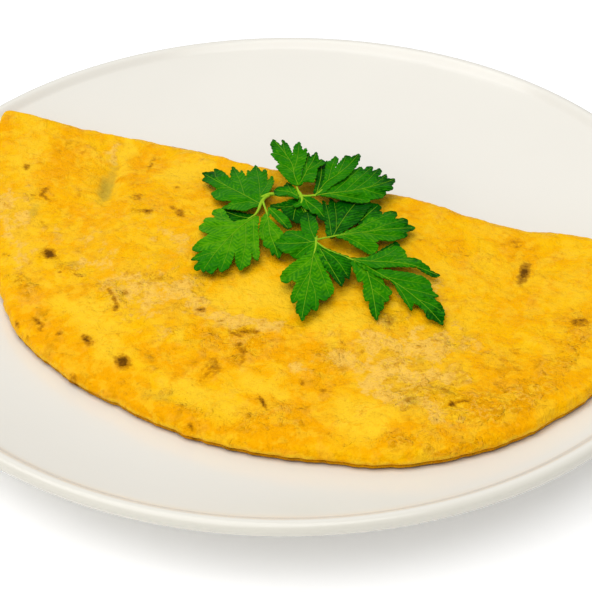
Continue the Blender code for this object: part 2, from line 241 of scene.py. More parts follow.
class Nodes:
    """A material whose nodes are added one after the other."""

    def __init__(self, name):
        self.material = bpy.data.materials.new(name)
        self.material.use_nodes = True
        self.tree = self.material.node_tree
        self.shader = self.tree.nodes["Principled BSDF"]
        self.place = self.add("ShaderNodeTexCoord").outputs["Object"]

    def add(self, kind, values=None, **settings):
        node = self.tree.nodes.new(kind)
        for key, value in settings.items():
            setattr(node, key, value)
        for key, value in (values or {}).items():
            self.put(node.inputs[key], value)
        return node

    def put(self, socket, value):
        if isinstance(value, bpy.types.NodeSocket):
            self.tree.links.new(value, socket)
        elif isinstance(value, tuple) and len(value) == 3 and socket.type == "RGBA":
            socket.default_value = (*value, 1.0)
        else:
            socket.default_value = value

    def set(self, **values):
        for key, value in values.items():
            self.put(self.shader.inputs[key.replace("_", " ")], value)

    def noise(self, size, detail=3.0, roughness=0.5, distortion=0.0):
        """Noise from 0 to 1 whose coarsest lumps are about size metres across."""
        values = {"Vector": self.place, "Scale": 1.0 / size, "Detail": detail, "Roughness": roughness,
                  "Distortion": distortion}
        return self.add("ShaderNodeTexNoise", values).outputs["Fac"]

    def attribute(self, name):
        return self.add("ShaderNodeAttribute", attribute_name=name).outputs["Fac"]

    def math(self, operation, a, b=0.0, clamp=False):
        node = self.add("ShaderNodeMath", {0: a, 1: b}, operation=operation, use_clamp=clamp)
        return node.outputs[0]

    def total(self, first, *others):
        for other in others:
            first = self.math("ADD", first, other)
        return first

    def product(self, first, *others):
        for other in others:
            first = self.math("MULTIPLY", first, other)
        return first

    def swing(self, noise, size):
        """The noise made to swing round 0, by half the size to each side."""
        return self.product(self.math("SUBTRACT", noise, 0.5), size)

    def ramp(self, value, low, high, to_low=0.0, to_high=1.0):
        values = {"Value": value, "From Min": low, "From Max": high, "To Min": to_low, "To Max": to_high}
        node = self.add("ShaderNodeMapRange", values, interpolation_type="SMOOTHSTEP")
        return node.outputs[0]

    def line(self, noise, level, width, strength):
        """Thin lines where the noise passes through a level."""
        gap = self.math("ABSOLUTE", self.math("SUBTRACT", noise, level))
        return self.ramp(gap, 0.0, width, strength, 0.0)

    def painted(self, colour, layers):
        """The colour under layers of other colours, each a (colour, share), from the lowest up."""
        for tone, share in layers:
            node = self.add("ShaderNodeMix", {0: share, 6: colour, 7: tone}, data_type="RGBA")
            colour = node.outputs[2]
        return colour

    def relief(self, *bumps):
        """A normal bent by bumps one on the other, each a (height, distance, strength)."""
        normal = None
        for height, distance, strength in bumps:
            values = {"Height": height, "Distance": distance, "Strength": strength}
            if normal is not None:
                values["Normal"] = normal
            normal = self.add("ShaderNodeBump", values).outputs[0]
        return normal


# ---------------------------------------------------------------- plate

PLATE_SIDES = 288
WELL_RINGS = 12
DISH_RINGS = 40
FILLET_RINGS = 9
LIP_RINGS = 19
UNDER_RINGS = 26
BEVEL_RINGS = 6
RECESS_RINGS = 8
# the fillet between dish and lip: its width, and where and at which slope it meets the lip
FILLET_WIDTH = 4.2 * MM
LIP_MEETS = (-1.0 * MM, 0.88 * LIP_RADIUS)
LIP_SLOPE = 0.45
LIP_ANGLES = (118, -68)
UNDER_INSET = 0.6 * MM
RECESS_FILLET = (0.5 * MM, 0.3 * MM)
RECESS_RADIUS = FOOT_INNER - 3 * MM
GLAZE = (0.815, 0.792, 0.725)
GLAZE_CLOUD = 0.985
# painted shade: the glaze darkens round the lip towards its outer face, where less light falls, between
# these radii
LIP_PAINTED_SHADE = (0.68, 0.655, 0.575)
LIP_PAINTED_SHADE_REACH = (LIP_START - 0.5 * LIP_RADIUS, LIP_START + 0.8 * LIP_RADIUS)


def fillet(low, high, low_slope, high_slope):
    """Points on a smooth curve between two (radius, height) points, with the slope at each."""
    span, climb = high[0] - low[0], high[1] - low[1]
    points = []
    for share in np.linspace(0.0, 1.0, FILLET_RINGS)[1:-1]:
        rest = 1 - share
        rise = share * low_slope * span * rest ** 2 - share ** 2 * rest * high_slope * span
        rise += (3 - 2 * share) * share ** 2 * climb
        points.append((low[0] + share * span, low[1] + rise))
    return points


def section_arc(centre, radius, start, stop, count):
    """Points round a (radius, height) centre, from one angle in degrees to another."""
    turns = [math.radians(angle) for angle in np.linspace(start, stop, count)]
    return [(centre[0] + radius * math.cos(turn), centre[1] + radius * math.sin(turn)) for turn in turns]


def plate_profile():
    """Half section of the plate as (radius, height), round the lip and the foot."""
    inner_end = LIP_START - FILLET_WIDTH
    dish_end = (inner_end, dish_height(inner_end))
    dish_slope = (dish_end[1] - dish_height(inner_end - MM)) / MM
    lip = (LIP_START, WELL_HEIGHT + DISH_RISE - LIP_RADIUS / 2)
    lip_meets = (lip[0] + LIP_MEETS[0], lip[1] + LIP_MEETS[1])
    under = np.linspace(inner_end - UNDER_INSET, FOOT_OUTER + 2.0 * FOOT_BEVEL, UNDER_RINGS)
    profile = [(radius, WELL_HEIGHT) for radius in np.linspace(0.0, WELL_RADIUS, WELL_RINGS)[:-1]]
    profile += [(radius, dish_height(radius)) for radius in np.linspace(WELL_RADIUS, inner_end, DISH_RINGS)]
    profile += fillet(dish_end, lip_meets, dish_slope, LIP_SLOPE)
    profile += section_arc(lip, LIP_RADIUS, *LIP_ANGLES, LIP_RINGS)
    profile += [(radius, dish_height(radius) - WALL) for radius in under]
    profile += [(FOOT_OUTER + 0.5 * FOOT_BEVEL, FOOT_HEIGHT), (FOOT_OUTER, FOOT_HEIGHT - FOOT_BEVEL)]
    profile += section_arc((FOOT_OUTER - FOOT_BEVEL, FOOT_BEVEL), FOOT_BEVEL, 0, -90, BEVEL_RINGS)
    profile += section_arc((FOOT_INNER + FOOT_BEVEL, FOOT_BEVEL), FOOT_BEVEL, -90, -180, BEVEL_RINGS)
    profile += [(FOOT_INNER, RECESS_HEIGHT - RECESS_FILLET[1])]
    profile += [(FOOT_INNER - RECESS_FILLET[0], RECESS_HEIGHT)]
    profile += [(radius, RECESS_HEIGHT) for radius in np.linspace(RECESS_RADIUS, 0.0, RECESS_RINGS)]
    return profile


def build_plate(material):
    """The plate's half section turned into a closed body."""
    profile = plate_profile()
    verts = [(0.0, 0.0, profile[0][1])]
    for radius, height in profile[1:-1]:
        for turn in np.linspace(0.0, math.tau, PLATE_SIDES, endpoint=False):
            verts.append((radius * math.cos(turn), radius * math.sin(turn), height))
    verts.append((0.0, 0.0, profile[-1][1]))
    # the profile starts at the top, so the faces are turned over to look outwards
    faces = [(face[0], *face[:0:-1]) for face in wound_faces(len(profile) - 2, PLATE_SIDES)]
    reach = np.hypot(*np.array(verts)[:, :2].T)
    # the lip attribute carries the lip's painted shade
    return add_mesh("glazed_plate", verts, faces, material, {"lip": smooth_step(*LIP_PAINTED_SHADE_REACH, reach)})


def glaze_material():
    """Cream-white glaze, faintly cloudy and rippled, with painted shade round the lip."""
    nodes = Nodes("glaze")
    cloud = nodes.noise(0.05, 2.0)
    ripple = nodes.noise(0.022, 2.0)
    grain = nodes.noise(0.0011, 2.0)
    colour = nodes.painted(GLAZE, (
        (tuple(GLAZE_CLOUD * c for c in GLAZE), nodes.ramp(cloud, 0.3, 0.7)),
        # painted shade round the lip
        (LIP_PAINTED_SHADE, nodes.attribute("lip")),
    ))
    rough = nodes.ramp(nodes.noise(0.03, 3.0), 0.3, 0.7, 0.13, 0.19)
    normal = nodes.relief((ripple, 0.0002, 0.5), (grain, 0.00002, 0.5))
    nodes.set(Base_Color=colour, Roughness=rough, Normal=normal, IOR=1.5)
    return nodes.material


# ---------------------------------------------------------------- omelette: marks on its top

# For each kind of mark: how far its edges waver (mm) and how soft they are, and its patches:
# along and in front of the fold, half length, half width (mm), turn (degrees) and strength
PATCHES = {
    "amber": (3, 0.8, (
        (-126, 18, 11, 1.8, 62, 0.9), (-99, 20, 16, 5.5, 70, 0.9), (-95, 38, 9, 3, 75, 0.7),
        (-70, 12, 12, 6.5, 80, 0.9), (-68, 24, 8, 4, 30, 0.5), (-80, 48, 14, 4, 12, 0.65),
        (-71, 55, 8, 2.5, 60, 0.6), (-76, 66, 10, 4, 40, 0.4), (-55, 84, 8, 5, -30, 0.75),
        (-66, 94, 15, 5, 40, 0.85), (-48, 108, 17, 5.5, 25, 0.85), (-28, 115, 17, 5, 12, 0.95),
        (-14, 102, 15, 5, 8, 0.9), (-2, 93, 12, 6, 20, 0.6), (14, 84, 9, 6, 20, 0.6),
        (27, 92, 8, 7, 60, 0.45), (34, 83, 10, 3.5, 80, 0.7), (2, 122, 24, 3.2, 3, 0.9),
        (34, 118, 14, 5, -20, 0.85), (59, 111, 9, 4.5, -65, 0.8), (70, 107, 9, 6, -30, 0.7),
        (83, 96, 14, 8, -45, 0.85), (88, 78, 15, 10, -70, 0.65), (74, 74, 10, 7, 60, 0.5),
        (97, 62, 15, 6, 80, 0.5), (-42, 24, 8, 4, 50, 0.7), (-47, 34, 9, 5, 20, 0.5),
        (-61, 34, 7, 4, 60, 0.45), (28, 9, 7, 4, 20, 0.6), (66, 12, 7, 5, 60, 0.7),
        (46, 20, 9, 5, 0, 0.45), (73, 18, 7, 4, 80, 0.5), (93, 47, 9, 5, 60, 0.6),
        (-85, 41, 10, 5, 60, 0.35), (110, 30, 14, 7, 80, 0.5), (-112, 62, 16, 4, 55, 0.6),
        (24, 84, 8, 5, 70, 0.5), (10, 88, 6, 3, 40, 0.5), (-10, 86, 5, 3, 0, 0.5), (-3, 102, 8, 5, 0, 0.5),
        (31, 105, 7, 4, 60, 0.6), (-66, 100, 12, 4, 42, 0.4), (85, 88, 14, 3, -50, 0.9),
        (-61, 100, 12, 3.5, 40, 0.9), (80, 86, 9, 5, -30, 0.7), (5, 91, 13, 5, 10, 0.9),
        (17, 87, 8, 6, 0, 0.8), (30, 95, 8, 5, 20, 0.6), (24, 113, 10, 6, 10, 1),
        (32, 108, 6, 5, 0, 0.7))),
    "bright": (3, 0.8, (
        (-114, 20, 17, 4.5, 65, 0.7), (-104, 39, 17, 4, 55, 0.5), (-80, 9, 12, 3.5, 65, 0.95),
        (-75, 24, 9, 1.8, 65, 0.9), (-56, 14, 10, 8, 60, 0.9), (-46, 7, 8, 4, 0, 0.5),
        (-92, 60, 17, 6, 45, 0.5), (-84, 75, 15, 5, 50, 0.6), (-48, 92, 14, 5.5, 25, 1),
        (-34, 104, 8, 4, 30, 0.9), (-67, 88, 8, 2.6, 35, 0.6), (-3, 68, 15, 8, -18, 1),
        (28, 71, 8, 8.5, 0, 1), (-5, 81.5, 9, 2.6, -15, 0.8), (0, 112, 15, 4.8, 14, 0.9),
        (17, 104, 14, 4.5, 20, 0.9), (48, 107, 11, 9, -30, 1), (-16.5, 93, 3.4, 2.2, 80, 1),
        (-22, 93.5, 2, 1.8, 0, 0.6), (36, 92, 8, 6, 0, 0.4), (65, 82, 5, 4, -40, 0.7),
        (78, 84, 10, 2, 50, 0.6), (66, 103, 9, 2, 45, 0.6), (56, 8, 8, 4, 0, 0.5),
        (60, 27, 10, 8, 0, 0.35), (90, 30, 14, 5, 85, 0.6), (50, 35, 8, 6, 0, 0.4))),
    "skin": (3, 0.7, (
        (-100, 57, 20, 8, 50, 0.6), (-60, 68, 22, 9, 30, 0.5), (-30, 77, 18, 14, 30, 0.65),
        (50, 80, 18, 13, 70, 0.9), (54, 94, 9, 4, 30, 0.9), (46, 45, 12, 9, 0, 0.5),
        (-80, 78, 13, 6, 50, 0.5), (64, 65, 10, 8, 0, 0.5), (5, 79, 17, 2.6, 0, 0.5),
        (-40, 48, 14, 8, 20, 0.4), (-85, 10, 6, 2.5, 70, 0.6), (-1, 80, 11, 2.6, -10, 0.9),
        (24, 92, 6, 4, 0, 0.6), (34, 83, 5, 4, 0, 0.6), (53, 87, 8, 5, 10, 1), (66, 82, 5, 3.2, 20, 1),
        (67, 99, 6, 2.6, 20, 0.8), (52, 94, 7, 3, 10, 0.8))),
    # the first two olive patches lie in the dimple and are painted shade; the others are greyish marks
    "olive": (1.5, 0.8, (
        (-76.8, 31, 8.5, 2.4, 66, 0.95), (-79.5, 21, 8, 1.7, 60, 0.5), (-91.5, 54, 5, 2, 60, 0.5),
        (72.4, 25.5, 6, 1.5, 85, 0.8), (41, 64, 3, 2, 80, 0.6), (58.5, 95.5, 3, 1.8, 20, 0.6),
        (-64, 74, 3, 1.6, 0, 0.4), (55, 77, 2.5, 1.8, 0, 0.4), (-37, 61.5, 4, 1.4, 0, 0.4),
        (-41, 81, 2.4, 1.6, 50, 0.4), (61, 67, 1.4, 1.2, 0, 0.4), (-10, 117, 6, 2.4, 0, 0.4),
        (66.5, 88, 2.4, 1.2, 10, 0.5))),
    "crinkled": (2, 0.8, (
        (-44, 84, 7, 5, 40, 0.8), (-75, 88, 7, 2.5, 20, 0.9), (-64, 76, 10, 3, 15, 0.5),
        (66, 92, 9, 6, 20, 0.9), (41, 64, 5, 4, 0, 0.8), (57, 96, 5, 4, 0, 0.7), (50, 23, 8, 5, 0, 0.35),
        (4, 88, 9, 7, 0, 0.7), (30, 86, 9, 6, 60, 0.6), (61, 68, 6, 4, 0, 0.6), (78, 108, 12, 4, -35, 0.5),
        (-57, 38, 8, 5, 0, 0.35), (-25, 72, 14, 8, 20, 0.3), (50, 80, 14, 9, 60, 0.35),
        (-95, 45, 7, 5, 30, 0.35), (0, 118, 25, 4, 3, 0.4), (94, 46, 6, 6, 0, 0.5),
        (-12, 92, 8, 6, 0, 0.5), (70, 64, 16, 6, 60, 0.25), (80, 90, 16, 6, -42, 1),
        (94, 64, 14, 3.5, -78, 0.7), (58, 112, 12, 3.5, -25, 0.6), (26, 112, 8, 5, 0, 0.6))),
    "spots": (0.9, 0.95, (
        (-26.5, 108.5, 2.5, 1.7, 38, 1), (-74, 72.5, 2.2, 1.5, 35, 1), (-74, 73, 4.2, 3, 30, 0.3),
        (-41, 104, 2.5, 1.1, 42, 0.75), (19.5, 109.3, 2.4, 0.5, 47, 1), (72.4, 25.5, 5, 1.4, 85, 0.95),
        (-107, 34.5, 1.7, 1.1, 60, 0.6), (-94, 43, 2.2, 1, 80, 0.6), (-92, 46, 3, 0.7, 20, 0.5),
        (-95.5, 46.5, 1.6, 0.6, -20, 0.4), (-62.5, 33.5, 2.5, 2, 0, 0.5), (-55, 40, 1.8, 1.4, 0, 0.75),
        (-58.5, 41, 1.6, 1.1, 0, 0.5), (-44, 37, 2.2, 1.6, 40, 0.7), (-47, 35, 2.6, 1, 20, 0.35),
        (-86, 66, 0.9, 0.7, 0, 0.4), (-85.5, 58.5, 1.3, 0.6, 40, 0.45), (-66, 79, 0.9, 0.5, 20, 0.6),
        (-60.5, 78.2, 0.8, 0.5, 0, 0.45), (-58, 78.6, 0.9, 0.5, 0, 0.4), (-40, 88.5, 1.3, 0.9, 60, 0.85),
        (-43, 84.5, 4.2, 0.6, 48, 0.5), (-46, 82, 1.3, 0.6, 40, 0.5), (-40.5, 81, 1.4, 1, 50, 0.45),
        (-77.3, 87, 1.7, 0.8, 80, 0.5), (-75, 88.5, 2.2, 0.5, 30, 0.35), (-72, 89, 0.9, 0.6, 0, 0.4),
        (-50.6, 104.5, 1, 0.8, 90, 0.55), (-58.5, 103, 2.8, 0.7, 42, 0.75),
        (-61.5, 101.3, 1.6, 0.5, 35, 0.5), (-65.6, 104.6, 1.5, 0.5, 45, 0.7),
        (-59.5, 108.3, 1, 0.5, 30, 0.5), (-38, 117.6, 1.4, 0.6, 20, 0.5), (-15, 79, 1.1, 0.9, 0, 0.75),
        (-17, 80.5, 4, 2.4, 40, 0.2), (33.3, 98.4, 0.8, 0.6, 0, 0.85), (26.5, 97.5, 1.6, 0.6, 45, 0.45),
        (4, 90.7, 2.2, 1, 25, 0.6), (6.5, 95, 3, 1, 70, 0.35), (0, 100.5, 2.8, 1.5, 60, 0.5),
        (-1, 104, 4, 2, 80, 0.3), (1.5, 84, 3.6, 0.8, -25, 0.6), (5, 82.7, 1.3, 0.5, -20, 0.4),
        (1.2, 86, 1.3, 0.5, 0, 0.4), (4, 123.6, 1.3, 0.5, 40, 0.6), (41, 63.5, 2, 1.2, 80, 0.45),
        (58.5, 95.5, 2, 1.2, 20, 0.4), (69.8, 93.2, 1.1, 0.8, 80, 1), (71.5, 91.6, 0.9, 0.5, -20, 0.85),
        (72.9, 90.6, 0.8, 0.6, 0, 0.85), (66.5, 88, 1.8, 0.9, 10, 0.5), (94.5, 45.5, 2.2, 1.9, 0, 0.65),
        (53.5, 23.5, 0.9, 0.6, 0, 0.4), (66, 11.5, 3, 2, 60, 0.3), (-52.5, 22.5, 0.9, 0.9, 0, 0.45),
        (-69, 11, 4, 0.9, 75, 0.4), (-87.5, 77, 1.5, 1.2, 0, 0.35), (-66, -3.3, 5.5, 0.7, 0, 0.8),
        (-56.5, -3, 2.5, 0.6, 0, 0.6), (33, -1.4, 5.5, 0.7, 0, 0.8), (76, 0.9, 3.5, 0.6, 0, 0.7),
        (50, 1.2, 3, 0.5, 0, 0.4), (-40, -3.2, 2, 0.5, 0, 0.4))),
}
# every wrinkle's points along and in front of the fold, the depth and width of its groove, and the
# height of the lip behind it, in mm
WRINKLES = (
    (((-10, 87.5), (-5, 86), (-1.5, 84.8), (1, 83.2), (4, 82.3), (7, 81.6), (10.5, 80.8)), 0.6, 0.8, 0.5),
    (((10.5, 80.8), (11.2, 84.5), (10.5, 88.5)), 0.25, 0.8, 0.2),
    (((-0.5, 85.6), (3, 85.9), (6.5, 84), (9.5, 86)), 0.3, 0.5, 0.2),
    (((2, 88.8), (4.5, 91.2), (6, 94.5), (6.4, 98)), 0.35, 1, 0.25),
    (((-8, 89.5), (-4, 91), (0, 92.2), (3, 91)), 0.2, 0.5, 0.15),
    (((-8, 91.5), (-5, 94.5), (-1.5, 97)), 0.25, 0.5, 0.15),
    (((-18, 97.5), (-12, 97.3), (-6, 98.6)), 0.25, 1.2, 0.2),
    (((-3, 99), (-1, 102.5), (0.5, 106.5)), 0.2, 1.4, 0.2),
    (((25.5, 86.8), (28.5, 89), (31, 91.5), (32.5, 96)), 0.3, 0.5, 0.15),
    (((28, 78), (33, 79.2), (35.7, 82), (35, 88)), 0.3, 1.2, 0.25),
    (((24, 94.5), (27, 98.3)), 0.25, 0.6, 0.1),
    (((43, 83), (40.5, 87.5)), 0.25, 0.7, 0.1),
    (((29, 108), (32.5, 104.5), (37, 101.5)), 0.3, 1.3, 0.2),
    (((64, 77), (61.5, 82), (61.5, 87), (58, 90)), 0.3, 0.6, 0.25),
    (((70, 86), (74, 89), (78, 90)), 0.35, 0.6, 0.2),
    (((52, 97), (57, 95), (61, 96)), 0.3, 0.8, 0.2),
    (((-45, 83), (-43, 84.5), (-40.5, 87.5)), 0.2, 0.5, 0.1),
    (((-66, 71.5), (-62, 74.5), (-58, 79.5), (-54, 80.8)), 0.25, 0.7, 0.15),
    (((-61, 57.5), (-57, 62)), 0.2, 0.8, 0.1),
    (((-78, 85), (-77, 88.5)), 0.25, 0.7, 0.15),
    (((-75, 89.8), (-70, 92), (-66, 95)), 0.3, 0.8, 0.2),
    (((-72, 95.5), (-66, 98.6), (-62, 101), (-57.5, 104)), 0.3, 0.7, 0.2),
    (((-96, 41), (-94, 44.5), (-91, 46)), 0.12, 0.8, 0.15),
    (((-76, 44), (-70, 49), (-60, 48)), 0.2, 1.6, 0.2),
    (((-20, 62), (-13, 60), (-6, 62)), 0.2, 1, 0.15),
    (((84, 60), (88, 66), (87, 74)), 0.25, 1.2, 0.2),
    (((96, 34), (99, 42), (97, 52)), 0.2, 1.4, 0.2),
)
DRIFT_OCTAVES = 3
# patches drift with noise of this length (mm) and these seeds, in full from this half width up
PATCH_DRIFT = (7, (41, 57))
PATCH_SWAY = 3.0
# wrinkles drift by so many mm, with noise of this length and seed
WRINKLE_DRIFT = (1.8, 4.0, 83)
# they come and go: mean strength, its swing, length (mm) and seed of that, and the most of it
WRINKLE_FADE = (0.55, 1.1, 3.0, 77, 1.2)
# the lip starts behind the wrinkle between these places across it and reaches so far, in mm
LIP_STARTS = (0.4, -0.6)
LIP_REACH = 3.5
# painted shade in a groove for each mm of its depth, and how much wider than the groove it is
GROOVE_SHADE = 1.6
GROOVE_SPREAD = 1.5
# pale tone on a lip's crest for each mm of its height, partly a painted highlight, where the crest is and
# how wide, in mm
CREST_HIGHLIGHT = 2.0
CREST_PLACE = 1.6
CREST_WIDTH = 1.2
# lumps of the top: height, length along and across (mm), seed and octaves
LUMPS = ((0.45, 23, 19, 3, 3), (0.2, 6.5, 5.5, 9, 3), (0.05, 2.2, 2.2, 15, 2))
# more lumps along the fold only: height, reach, length along and across (mm), seed and octaves
FOLD_LUMPS = (0.7, 5.0, 7.0, 5.0, 33, 3)
# tones that lie all over the egg: lengths along and across (mm), seed, start and end, and strength
BROWNED = (12, 9, 21, 0.25, 0.8, 0.45)
PALED = (14, 10, 29, 0.3, 0.9, 0.4)


def patch_cover(a, f, waver, softness, patches):
    """How much soft patches cover each point, from 0 to 1; their edges waver by a few mm."""
    length, seeds = PATCH_DRIFT
    drift_a, drift_f = (waver * fractal(a / length, f / length, seed, DRIFT_OCTAVES) for seed in seeds)
    bare = np.ones_like(a)
    for patch_a, patch_f, length, width, turn, strength in patches:
        cos, sin = math.cos(math.radians(turn)), math.sin(math.radians(turn))
        sway = min(1.0, width / PATCH_SWAY)
        da, df = a + sway * drift_a - patch_a, f + sway * drift_f - patch_f
        reach = np.hypot((cos * da + sin * df) / length, (cos * df - sin * da) / width)
        bare *= 1.0 - strength * smooth_step(1.0 + softness, 1.0 - softness, reach)
    return 1.0 - bare


def wrinkle_marks(a, f):
    """Grooves with a low lip behind them: their height in mm, and shares of painted shade in the groove and
    of the crest's pale tone, partly painted highlight.
    """
    height, groove, crest = np.zeros_like(a), np.zeros_like(a), np.zeros_like(a)
    mean, swing, length, seed, most = WRINKLE_FADE
    fade = np.clip(mean + swing * gradient_noise(a / length, f / length, seed), 0.0, most)
    drift, length, seed = WRINKLE_DRIFT
    f = f + drift * fractal(a / length, f / length, seed, DRIFT_OCTAVES)
    for points, depth, width, lip in WRINKLES:
        nearest = np.full_like(a, np.inf)
        side = np.zeros_like(a)
        for (a0, f0), (a1, f1) in zip(points, points[1:]):
            gap = beside_segment(a, f, (a0, f0), (a1, f1))[1]
            turn = ((a1 - a0) * (f - f0) - (f1 - f0) * (a - a0)) / math.hypot(a1 - a0, f1 - f0)
            side = np.where(gap < nearest, turn, side)
            nearest = np.minimum(nearest, gap)
        behind = smooth_step(*LIP_STARTS, side)
        height += lip * behind * np.exp(-(nearest / LIP_REACH) ** 2)
        height -= depth * fade * np.exp(-(nearest / width) ** 2)
        # painted shade in the groove, and the crest's pale tone, partly a painted highlight
        shadow = min(1.0, GROOVE_SHADE * depth) * fade * np.exp(-(nearest / (GROOVE_SPREAD * width)) ** 2)
        light = CREST_HIGHLIGHT * lip * behind * np.exp(-((nearest - CREST_PLACE) / CREST_WIDTH) ** 2)
        groove = np.maximum(groove, shadow)
        crest = np.maximum(crest, light)
    return height, np.clip(groove, 0.0, 1.0), np.clip(crest, 0.0, 1.0)


def relief(along, front):
    """Small lumps, wrinkles and the dimple on the omelette's top."""
    a, f = along / MM, front / MM
    value = sum(height * fractal(a / run_a, f / run_f, seed, octaves)
                for height, run_a, run_f, seed, octaves in LUMPS)
    height, reach, run_a, run_f, seed, octaves = FOLD_LUMPS
    value = value + wrinkle_marks(a, f)[0]
    value = value + height * np.exp(-(f / reach) ** 2) * fractal(a / run_a, f / run_f, seed, octaves)
    cos, sin = math.cos(DIMPLE_TURN), math.sin(DIMPLE_TURN)
    da, df = along - DIMPLE_AT[0], front - DIMPLE_AT[1]
    across = (cos * da - sin * df) / DIMPLE_SIZE[0]
    down = (sin * da + cos * df) / DIMPLE_SIZE[1]
    value = value - DIMPLE_DEPTH / MM * np.exp(-across ** 2 - down ** 2)
    return value * MM


def all_over(a, f, settings):
    """How much a tone that lies all over the egg covers each point."""
    run_a, run_f, seed, start, end, strength = settings
    return strength * smooth_step(start, end, fractal(a / run_a, f / run_f, seed))


def egg_tones(along, front, rim, edge):
    """Shares of each tone of the fried egg, by place."""
    a, f = along / MM, front / MM
    tones = {name: patch_cover(a, f, *settings) for name, settings in PATCHES.items()}
    amber, bright = tones["amber"], tones["bright"]
    tones["amber"] = np.maximum(amber, all_over(a, f, BROWNED) * (1.0 - bright))
    tones["bright"] = np.maximum(bright, all_over(a, f, PALED) * (1.0 - amber))
    _, tones["groove"], tones["crest"] = wrinkle_marks(a, f)
    return tones | {"rim": rim, "edge": edge}


# ---------------------------------------------------------------- omelette: its mesh

HALF_OUTLINE = 520
ARC_SAMPLES = 1200
FOLD_SAMPLES = 900
# how far the arc's own shapes fade into the fold's round a corner
ARC_FADE = 1.5 * CORNER_ROUNDING
# between these points of FLAP_EDGE, round its lip, the flap's edge pales with a painted highlight and then
# browns, partly with painted shade under it
EDGE_PALE = (3.1, 3.8)
EDGE_BROWNED = (4.6, 6.0)
# uneven rim of the flap: height, length and seed of each size of bump, and the noise's row
RIM_BUMPS = ((0.35 * MM, 14.0 * MM, 61), (0.40 * MM, 5.0 * MM, 62), (0.32 * MM, 2.3 * MM, 63))
RIM_ROW = 0.4
PROFILE_POINTS = 34
TOP_SPACING = 0.72 * MM
UNDER_SPACING = 4.0 * MM
# how near to its loop a filling has points, in spacings, and how near two points are one
FILL_MARGIN = 0.6
SAME_POINT = 1e-7


def soften(values, reach):
    """Blur values sampled every OUTLINE_STEP round a closed loop."""
    count = int(4 * reach / OUTLINE_STEP)
    offsets = np.arange(-count, count + 1)
    weights = np.exp(-0.5 * (offsets * OUTLINE_STEP / reach) ** 2)
    weights /= weights.sum()
    return sum(weight * np.roll(values, k, axis=0) for k, weight in zip(offsets, weights))


def rough_outline():
    """The arc and the fold's edge as one loop of many points, and how many of them are the arc's."""
    left, right = (math.atan2(front, along) for along, front in (FOLD_EDGE[0], FOLD_EDGE[-1]))
    angles = np.linspace(left, right, ARC_SAMPLES)
    reach = smooth_curve(ARC, np.degrees(angles)) * MM
    arc = np.stack([reach * np.cos(angles), reach * np.sin(angles)], 1)
    along = np.linspace(FOLD_EDGE[-1][0], FOLD_EDGE[0][0], FOLD_SAMPLES)
    fold = np.stack([along * MM, smooth_curve(FOLD_EDGE, along) * MM], 1)
    return np.concatenate([arc, fold, arc[:1]]), len(arc)


def outline():
    """Points round the omelette's plan, and for each how much it belongs to the open arc."""
    dense, arc_count = rough_outline()
    place = np.concatenate([[0.0], np.cumsum(np.hypot(*np.diff(dense, axis=0).T))])
    even = np.arange(0.0, place[-1], OUTLINE_STEP)
    loop = np.stack([np.interp(even, place, dense[:, k]) for k in (0, 1)], 1)
    arc_length = place[arc_count]
    loop = soften(loop, CORNER_ROUNDING)
    on_arc = soften((even < arc_length).astype(float), ARC_FADE)
    steps = np.roll(loop, -1, axis=0) - loop
    outward = np.stack([-steps[:, 1], steps[:, 0]], 1) / np.hypot(*steps.T)[:, None]
    push = sum(height * gradient_noise(even / length, np.full_like(even, RIM_ROW), seed)
               for height, length, seed in RIM_BUMPS)
    loop = loop + outward * (push * on_arc)[:, None]
    turn = int(np.searchsorted(even, arc_length))
    arc_picks = np.linspace(0, turn, HALF_OUTLINE + 1)[:-1]
    fold_picks = np.linspace(turn, len(even), HALF_OUTLINE + 1)[:-1]
    picks = np.round(np.concatenate([arc_picks, fold_picks])).astype(int)
    return loop[picks], on_arc[picks]


def inward_directions(edges):
    """Unit steps from each point of the outline towards its place on the spine."""
    place = np.arange(2 * HALF_OUTLINE)
    place = np.minimum(place, 2 * HALF_OUTLINE - place) / HALF_OUTLINE
    share = np.clip((place - CORNER_SHARE) / (1.0 - 2 * CORNER_SHARE), 0.0, 1.0)[:, None]
    left, right = (np.array(point) * MM for point in SPINE)
    step = left + share * (right - left) - edges
    return step / np.hypot(*step.T)[:, None]


def edge_strip(edges, on_arc, inward):
    """Rings from the top's rim round the edge to the underside: (along, front, height) arrays."""
    steps = np.linspace(0, len(FLAP_EDGE) - 1, PROFILE_POINTS)
    columns = [list(enumerate(column)) for column in zip(*FLAP_EDGE)]
    inset, height, own = (smooth_curve(column, steps) for column in columns)
    own = np.clip(own, 0.0, 1.0)
    turns = np.linspace(FOLD_ROUNDING, -FOLD_ROUNDING, PROFILE_POINTS)
    fold_at = edges + inward * 0.5 * BODY_THICKNESS
    fold_half = 0.5 * thickness(*fold_at.T)
    on_fold = 1.0 - on_arc
    rings = []
    for step_in, step_up, share, turn in zip(inset, height, own, turns):
        depth = on_arc * step_in * MM + on_fold * fold_half * (1.0 - math.cos(turn))
        along, front = (edges + inward * depth[:, None]).T
        local = thickness(along, front)
        up_arc = share * local + (1.0 - share) * step_up * MM
        up_fold = fold_half + math.sin(turn) * (local - fold_half if turn > 0 else fold_half)
        shown = on_arc * share + on_fold * max(math.sin(turn), 0.0)
        up = on_arc * up_arc + on_fold * up_fold + relief(along, front) * shown
        rings.append(np.stack([along, front, underside(along, front) + up], 1))
    return rings


def inside_loop(points, loop):
    """Which points lie inside a closed loop, by counting crossings."""
    inside = np.zeros(len(points), bool)
    for (x0, y0), (x1, y1) in zip(loop, np.roll(loop, -1, axis=0)):
        if y0 != y1:
            cross = (y0 > points[:, 1]) != (y1 > points[:, 1])
            reach = x0 + (points[:, 1] - y0) / (y1 - y0) * (x1 - x0)
            inside ^= cross & (points[:, 0] < reach)
    return inside


